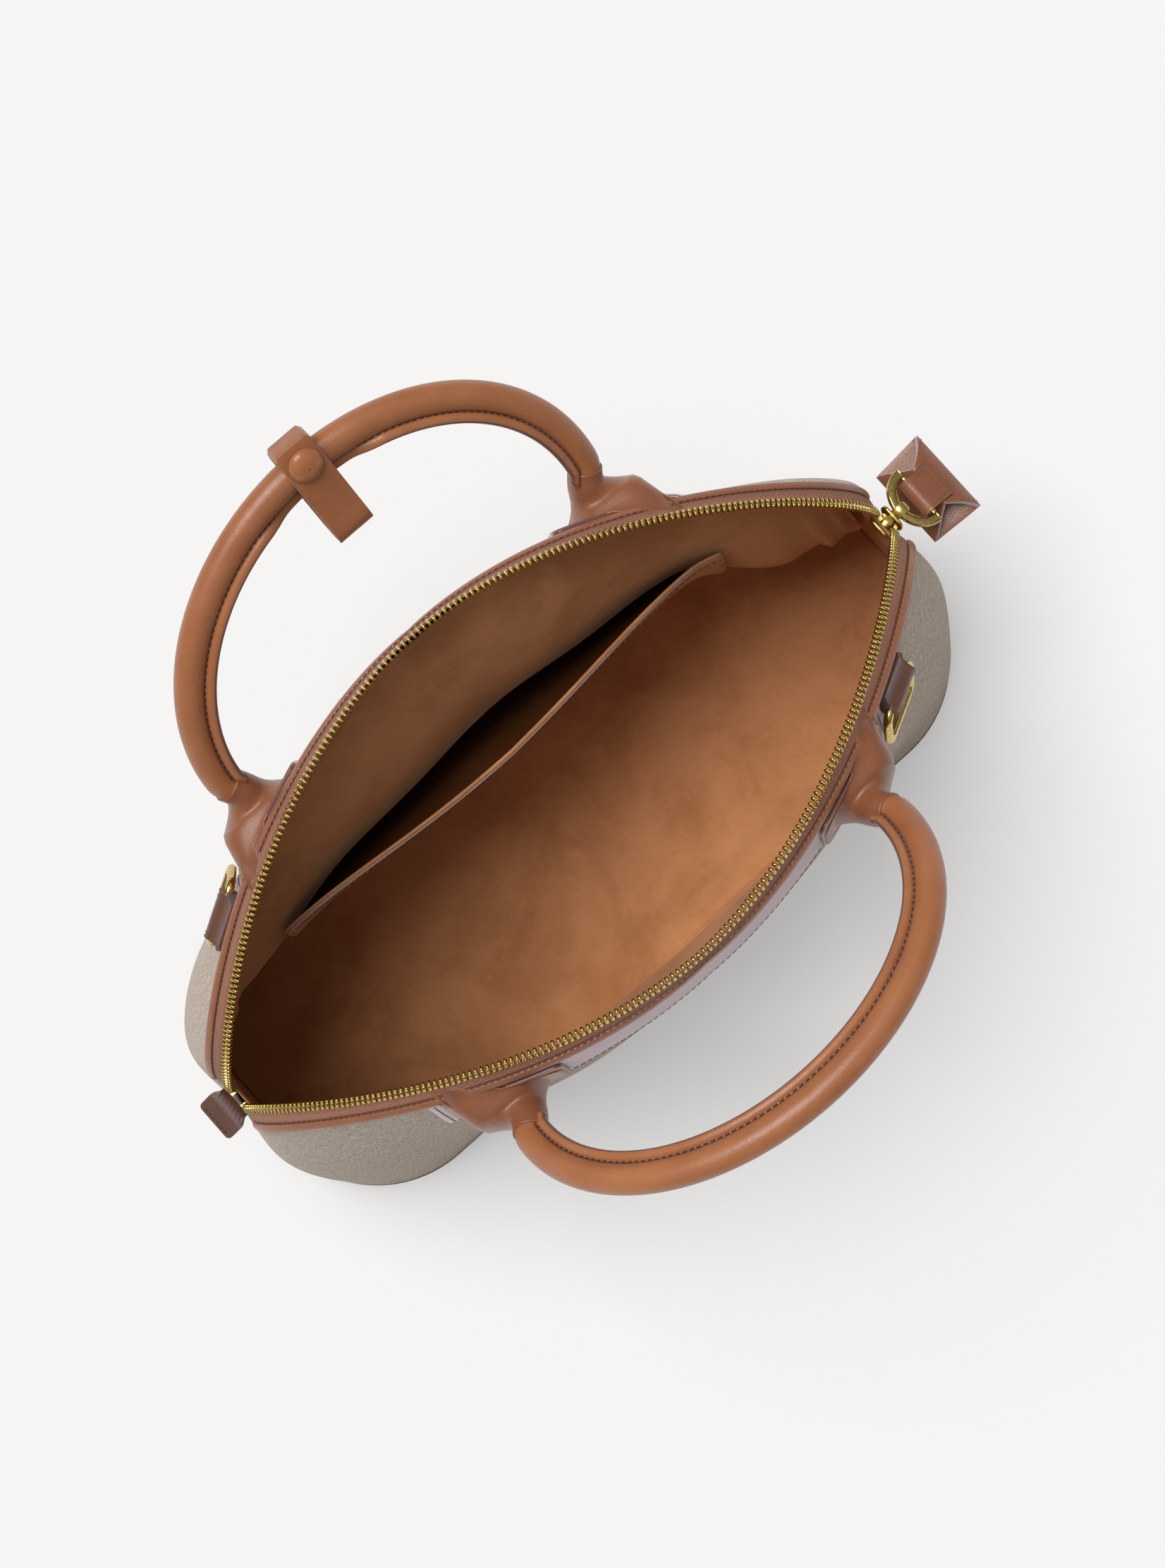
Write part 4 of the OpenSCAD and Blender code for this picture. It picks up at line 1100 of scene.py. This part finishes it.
def pull_ring():
    """A flat D: half a ring in the bridge and a round bar through the strap's sleeve."""
    ridge, h, b = 0.45, PULL_RING_T / 2, PULL_BAND / 2
    profile = [(-b, -h + ridge), (-b + ridge, -h), (b - ridge, -h), (b, -h + ridge),
               (b, h - ridge), (b - ridge, h), (-b + ridge, h), (-b, h - ridge)]
    rings = [[in_pull((PULL_MEAN + r) * cos(radians(a)), (PULL_MEAN + r) * sin(radians(a)), z)
              for r, z in profile] for a in spread(90, 270, 48)]
    bar = [[in_pull(BAR_R * c, y, BAR_R * q) for c, q in turns(8)]
           for y in (PULL_RING_D / 2 - PULL_BAND, PULL_BAND - PULL_RING_D / 2)]
    *sides, low, high = skin(len(rings), 8)
    join_shapes("pull_d_ring", [([p for r in rings for p in r], [low, high] + sides),
                                (bar[0] + bar[1], skin(2, 8, ends=False))],
                [GOLD], body="pull_ring", slot="gold", replaces=("pull_ring",))


def spline(points, per):
    """A smooth closed curve through points of any size."""
    out, n = [], len(points)
    for i in range(n):
        a, b, c, d = (points[(i + k) % n] for k in (-1, 0, 1, 2))
        for t in spread(0, 1, per)[:-1]:
            out.append(tuple(0.5 * (2 * q + (r - p) * t + (2 * p - 5 * q + 4 * r - e) * t * t
                                    + (3 * q - p - 3 * r + e) * t ** 3)
                             for p, q, r, e in zip(a, b, c, d)))
    return out


PULL_OUTLINE = [(6, 2.6, 0.15), (13.5, 2.8, 0.5), (19.6, 1, 0.92), (21.4, -0.8, 1), (20.8, -3, 1),
                (15, -7.8, 0.97), (9, -12.2, 0.93), (3.4, -15.9, 0.9), (1.4, -16.4, 0.88),
                (0.4, -15, 0.87), (2, -9.5, 0.65), (4.2, -2.6, 0.3)]


def pull_strap():
    """A wide strap folded on itself and sewn to a sleeve round the ring's bar."""
    outline = spline(PULL_OUTLINE, 5)
    n, across, rings = len(outline), 16, []

    def normal(i):
        a, b = outline[i - 1], outline[(i + 1) % n]
        d = Vector((b[0] - a[0], b[1] - a[1])).normalized()
        return Vector((d.y, -d.x))

    for inset, sides in ((0, range(across + 1)), (PULL_T, reversed(range(across + 1)))):
        for s in sides:
            k = lerp(1, -1, s / across)
            rings.append([in_pull(x + normal(i).x * inset, k * lerp(PULL_NECK, PULL_FOLD, f) / 2,
                                  z + normal(i).y * inset)
                          for i, (x, z, f) in enumerate(outline)])
    tube("pull_body", rings, [PULL, PALE_EDGE], loop=True, body="pull",
         ids_of=lambda i, j: int(i in (across, 2 * across + 1)),
         replaces=("pull_strap",), soften=0.4)
    o, sewn = in_pull(0, 0, 0), dict(mat=TAN_THREAD, width=0.55, body="pull")
    spots = [(x, z, f, normal(i)) for i, (x, z, f) in enumerate(outline) if x > 5][:24]
    for end, k in (("a", 1), ("b", -1)):
        stitches(f"pull_stitches_{end}",
                 [in_pull(x - q.x * 0.05, k * (lerp(PULL_NECK, PULL_FOLD, f) / 2 - 2.4),
                          z - q.y * 0.05) for x, z, f, q in spots],
                 [in_pull(-q.x, 0, -q.y) - o for x, z, f, q in spots], pitch=2.9, length=2.1,
                 **sewn)
    inner, outer = BAR_R + 0.3, BAR_R + 0.3 + PULL_T
    tail, tail_top = 11, 3.1 + PULL_T * 0.8
    profile = [(tail, 3.1), (tail, tail_top)]
    profile += [(outer * cos(radians(g)), outer * sin(radians(g))) for g in range(75, 301, 15)]
    profile += [(3.2, -2.2), (2.2, -1.0)]
    profile += [(inner * cos(radians(g)), inner * sin(radians(g))) for g in range(310, 69, -20)]
    tube("pull_sleeve", [[in_pull(x, y, z) for x, z in profile] for y in
                         spread(PULL_NECK / 2, -PULL_NECK / 2, 12)], [PULL], body="pull",
         soften=0.3)
    arc, up = [radians(g) for g in range(185, 60, -8)], in_pull(0, 0, 1) - o
    for end, y in (("a", PULL_NECK / 2 - 2), ("b", 2 - PULL_NECK / 2)):
        path = [in_pull((outer + 0.03) * cos(a), y, (outer + 0.03) * sin(a)) for a in arc]
        path += [in_pull(x, y, tail_top + 0.05) for x in (4, 6, 8, 9)]
        stitches(f"sleeve_stitches_{end}", path, [in_pull(cos(a), 0, sin(a)) - o for a in arc]
                 + [up] * 4, pitch=2.7, length=2.0, **sewn)
    stitches("sleeve_stitches_end", [in_pull(9.2, y, tail_top + 0.05) for y in
                                     spread(2 - PULL_NECK / 2, PULL_NECK / 2 - 2, 12)],
             [up] * 13, pitch=2.7, length=2.0, **sewn)


slider()
pull_ring()
pull_strap()

# ---- zip end tab ------------------------------------------------------------------------------
END_TAB_W, END_TAB_LEN, END_TAB_T, END_TAB_DROOP, END_TAB_LIFT = 20, 17, 4, 40, 3


def end_tab():
    """Folded leather over the zip's end: a flat flap with gathers where it is pinched in."""
    a = radians(END_TAB_DROOP)
    o = Vector((-MOUTH_L / 2 - TOOTH_H / 2 - 0.3, 0, TIP_H + END_TAB_LIFT))

    def at(x, y, z):
        return o + Vector((-x * cos(a) - z * sin(a), y, -x * sin(a) + z * cos(a)))

    def rows(top):
        grid = []
        for y in spread(-END_TAB_W / 2, END_TAB_W / 2, 40):
            row = []
            for x in spread(-1.5, END_TAB_LEN - corner_cut(y, END_TAB_W / 2, 2.5), 24):
                pinch = smooth((7 - x) / 7)
                fold = 0.55 * pinch * sin(y * 2.3 + 0.8 * sin(x * 0.7))
                z = END_TAB_T * (0.62 + 0.38 * pinch) + fold if top else 0.3
                row.append(at(x, y * (1 - 0.22 * pinch), z))
            grid.append(row)
        return grid

    grid_slab("zip_end_flap", rows(True), rows(False), [BROWN], slot="dark_leather",
              replaces=("zip_end_tab",), soften=0.5)
    path = [at(14.9, y, END_TAB_T * 0.62 + 0.1) for y in spread(-7.6, 7.6, 12)]
    stitches("zip_end_stitches", path, [at(0, 0, 1) - at(0, 0, 0)] * 13, pitch=2.4,
             length=1.8, width=0.45, slot="dark_leather")


end_tab()

# ---- suede lining -----------------------------------------------------------------------------
LINING_TOP, LINING_LOW, LINING_FLOOR, TIP_RISE, SPINE = 0.994, 0.06, 4.2, 9.5, 150
POCKET_W, POCKET_TOP, POCKET_LOW, POCKET_BOW, POCKET_T = 246, 150, 48, 20, 1.6
LINING_SAG, CAD_LINING_TOP = 35, 0.955


def lining_pt(u, v, d):
    p = side_at(u, v, CANVAS_T + LINING_GAP + d)
    return Vector((p.x, max(p.y, LIP / 2 + d), p.z))


def back_lining(u, v, d):
    """The slack back wall hangs in a curve, furthest in above half its height."""
    w = min(1.0, v / CAD_LINING_TOP)
    sag = LINING_SAG * (1 - u * u) ** 1.2 * max(0.0, sin(pi * w ** 1.35)) ** 1.2
    return lining_pt(u, v, d) - Vector((0, sag + tuck(u, v), 0))


def lining():
    """A loose suede bag: gathered under the tape toward the tips, with slack folds below."""
    def slack(u, v, side):
        """How far the suede hangs inward of the wall."""
        tip = smooth((abs(u) - 0.45) / 0.35)
        gather = tip * smooth((v - 0.45) / 0.4) * (2.4 + 2.2 * sin(u * 74 + 2 * sin(v * 6)))
        drape = 2.2 * (0.5 + 0.5 * sin(u * 19 + v * 5 + side * 1.7)) * smooth(v / 0.2)
        ridge = 4.5 * max(0.0, 1 - abs(abs(u) - 0.70 + 0.05 * v) / 0.035) * smooth(v / 0.25)
        return (drape + ridge) * smooth((0.93 - v) / 0.15) + gather * smooth((1 - v) / 0.03)

    def wall(side, t, v):
        """Places crowd toward the tips, where the top rises to close in under the tape."""
        u = SEAM * (1.4 * t - 0.4 * t ** 3) * side
        at = back_lining if side == BACK else lining_pt
        p = at(u, v, slack(u, v, side) * (1 - abs(u) ** 14))
        p.z += TIP_RISE * smooth((abs(u) - 0.962) / 0.026) * smooth((v - 0.88) / 0.11)
        return on_side(side, p)

    rows = [[wall(side, t, v) for side in (BACK, FRONT) for t in spread(-1, 1, 150)]
            for v in spread(LINING_TOP, LINING_LOW, 54)]
    last, n = rows[-1], len(rows[0])
    crease_a, crease_b = (place(name, [floor_sheet]) for name in
                          ("floor_crease_left", "floor_crease_right"))
    for f in spread(0, 1, 18)[1:]:
        row = []
        for p in last:
            spine = Vector((max(-SPINE, min(SPINE, p.x)), 0, 0))
            q = p.lerp(spine, smooth(f))
            q.z = lerp(p.z, LINING_FLOOR + LINING_T, smooth(f * 2.4))
            q.z += floor_height(q, crease_a, crease_b)
            row.append(q)
        rows.append(row)
    faces = [(b, a, d, c) for a, d, c, b in skin(len(rows), n, ends=False)]
    obj = piece("suede_lining", [p for row in rows for p in row], faces, [SUEDE], slot="suede",
                replaces=("lining",))
    obj.modifiers.new("one floor", "WELD").merge_threshold = 0.0002
    thick = obj.modifiers.new("suede", "SOLIDIFY")
    thick.thickness, thick.offset = LINING_T * MM, -1


def floor_height(p, a, b):
    """The floor suede rises in one long crease between two places, with soft hollows round it."""
    along = (b - a).to_2d()
    t = max(-0.3, min(1.3, (p - a).to_2d().dot(along) / along.length_squared))
    foot = a.to_2d() + along * t
    far = (p.to_2d() - foot).length
    near_end = smooth((0.75 - abs(t - 0.5)) / 0.3)
    return near_end * 5.0 * max(0.0, 1 - far / 16) ** 1.5 + 1.2 * (1 + noise_at(p, 45, 5))


def pocket():
    """Slip pocket on the back wall, its mouth bowed forward and trimmed with leather."""
    def at(k, z, d):
        x = lerp(-POCKET_W / 2, POCKET_W / 2, k)
        u = mouth_u(x)
        wall = back_lining(u, v_at(u, z), LINING_T + LIP)
        rise = max(0.0, (z - POCKET_LOW) / (POCKET_TOP - POCKET_LOW))
        bow = (POCKET_BOW * sin(pi * min(1, k) ** 0.93) ** 1.35 + 1.5) * rise ** 1.5
        return Vector((wall.x, wall.y - bow - d - 2.2, z))

    def rows(z0, z1, d):
        return [[at(k, z, d) for z in spread(z0, z1, 24)] for k in spread(0, 1, 80)]

    # painted shade: the pouch's inner face takes the darkened pocket leather
    grid_slab("pocket_pouch", rows(POCKET_LOW, POCKET_TOP, POCKET_T),
              rows(POCKET_LOW, POCKET_TOP, 0), [SUEDE, POCKET_FACE_IN_SHADE], under=1, slot="suede",
              replaces=("pocket_panel",))
    grid_slab("pocket_edging", rows(POCKET_TOP - 6, POCKET_TOP + 1, POCKET_T + LIP + 1),
              rows(POCKET_TOP - 6, POCKET_TOP + 1, POCKET_T + LIP), [COGNAC, EDGE], edge=1,
              replaces=("pocket_trim",), soften=0.25)
    path = [at(k, POCKET_TOP - 2.2, POCKET_T + LIP + 1.05) for k in spread(0, 1, 160)]
    stitches("pocket_stitches", path, [Vector((0, -1, 0.1))] * 161)


# a flat stand-in for the bag's floor, which carries the crease's two image points
floor_sheet = piece("floor_guide", [Vector((x, y, LINING_FLOOR + LINING_T)) for x, y in
                                    ((-200, -80), (200, -80), (200, 80), (-200, 80))],
                    [(0, 1, 2, 3)], [SUEDE], slot=None)
lining()
bpy.data.objects.remove(floor_sheet)
pocket()

# ---- CAD pieces that keep their shape -------------------------------------------------------
KEPT = {"front_top_stop": GOLD, "back_top_stop": GOLD, "bottom_stop": GOLD,
        "front_handle_core": CORD, "back_handle_core": CORD, "snap_stud": DARK_GOLD}
for node, mat in KEPT.items():
    bpy.data.objects[node].data.materials.clear()
    bpy.data.objects[node].data.materials.append(mat)

# ---- floor and light ---------------------------------------------------------------------------
FLOOR_W, FLOOR_COLOR, BACKDROP, BACKDROP_SHARE = 120, 0.83, 0.92, 0.34
SUN_FROM = Vector((-0.22, 0.46, 1.25)).normalized()
SUN_POWER, SUN_ANGLE = 2.55, 38
WORLD_LOW, WORLD_HIGH = 0.08, 0.50


def floor():
    mesh = bpy.data.meshes.new("floor")
    far = FLOOR_W / 2
    mesh.from_pydata([(-far, -far, 0), (far, -far, 0), (far, far, 0), (-far, far, 0)], [],
                     [(0, 1, 2, 3)])
    obj = bpy.data.objects.new("floor", mesh)
    bpy.context.scene.collection.objects.link(obj)
    n = Nodes("pale floor")
    mesh.materials.append(n.finish((FLOOR_COLOR,) * 3, 0.9, specular_ior_level=0.0))
    path = n.tree.nodes.new("ShaderNodeLightPath")
    seen = n.math("MAXIMUM", path.outputs["Is Camera Ray"],
                  n.math("MAXIMUM", path.outputs["Is Glossy Ray"],
                         path.outputs["Is Transmission Ray"]))
    glow = n.add("ShaderNodeEmission", ("Color", (BACKDROP,) * 3))
    blend = n.add("ShaderNodeMixShader", (0, n.times(seen, BACKDROP_SHARE)),
                  (1, n.bsdf.outputs[0]), (2, glow))
    n.tree.links.new(blend, n.tree.nodes["Material Output"].inputs["Surface"])


def lights():
    lamp = bpy.data.lights.new("key", "SUN")
    lamp.energy, lamp.angle = SUN_POWER, radians(SUN_ANGLE)
    obj = bpy.data.objects.new("key", lamp)
    obj.rotation_mode = "QUATERNION"
    obj.rotation_quaternion = SUN_FROM.to_track_quat("Z", "Y")
    bpy.context.scene.collection.objects.link(obj)
    world = bpy.data.worlds.new("studio")
    world.use_nodes = True
    tree = world.node_tree
    height = tree.nodes.new("ShaderNodeSeparateXYZ")
    tree.links.new(tree.nodes.new("ShaderNodeTexCoord").outputs["Generated"], height.inputs[0])
    level = tree.nodes.new("ShaderNodeMapRange")
    tree.links.new(height.outputs[2], level.inputs[0])
    for socket, value in zip(range(1, 5), (0.0, 1.0, WORLD_LOW, WORLD_HIGH)):
        level.inputs[socket].default_value = value
    lighting = tree.nodes["Background"]
    tree.links.new(level.outputs[0], lighting.inputs[1])
    lighting.inputs[0].default_value = (1, 1, 1, 1)
    backdrop = tree.nodes.new("ShaderNodeBackground")
    backdrop.inputs[0].default_value = (1, 1, 1, 1)
    backdrop.inputs[1].default_value = BACKDROP
    shown = tree.nodes.new("ShaderNodeMixShader")
    path = tree.nodes.new("ShaderNodeLightPath")
    for source, socket in ((path.outputs["Is Camera Ray"], shown.inputs[0]),
                           (lighting.outputs[0], shown.inputs[1]),
                           (backdrop.outputs[0], shown.inputs[2]),
                           (shown.outputs[0], tree.nodes["World Output"].inputs[0])):
        tree.links.new(source, socket)
    bpy.context.scene.world = world


floor()
lights()
bpy.context.scene.view_settings.view_transform = "Standard"

# ---- where each image point's thing shows -------------------------------------------------------
SHOWN = {"snap_cap": "covered_cap", "end_tab": "zip_end_flap", "slider": "slider_body",
         "front_keeper": "front_keeper", "pull_ring": "pull_d_ring",
         "front_left_foot": "front_handle_foot_left", "pocket_edge": "pocket_edging"}


def write_points():
    """How far each thing shows from its image point, edges by the vertices that show."""
    graph = bpy.context.evaluated_depsgraph_get()
    scene, seen = bpy.context.scene, {}
    hidden = {o.name for o in bpy.data.objects if o.hide_render or o.name == "floor"}
    for obj in bpy.data.objects:
        if obj.type == "MESH" and obj.name not in hidden:
            mesh = obj.evaluated_get(graph).to_mesh()
            step = 1 if obj.name in SHOWN.values() else max(1, len(mesh.vertices) // 3000)
            seen[obj.name] = [obj.matrix_world @ v.co for v in list(mesh.vertices)[::step]]
    everywhere = [to_image(p) for spots in seen.values() for p in spots]
    xs, ys = [p[0] for p in everywhere], [p[1] for p in everywhere]
    found = {"left": (min(xs), None), "right": (max(xs), None),
             "top": (None, min(ys)), "bottom": (None, max(ys))}
    for name, obj_name in SHOWN.items():
        open_spots = []
        for p in seen[obj_name][:: max(1, len(seen[obj_name]) // 500)]:
            hit, at = scene.ray_cast(graph, CAMERA_AT, (p - CAMERA_AT).normalized())[:2]
            if hit and (at - p).length < 0.0012:
                open_spots.append(to_image(p))
        if open_spots:
            qx, qy = [p[0] for p in open_spots], [p[1] for p in open_spots]
            found[name] = ((min(qx) + max(qx)) / 2, (min(qy) + max(qy)) / 2)
    out = {name: [None if a is None else round(a - b, 1) for a, b in zip(spot, POINTS[name])]
           for name, spot in found.items()}


write_points()
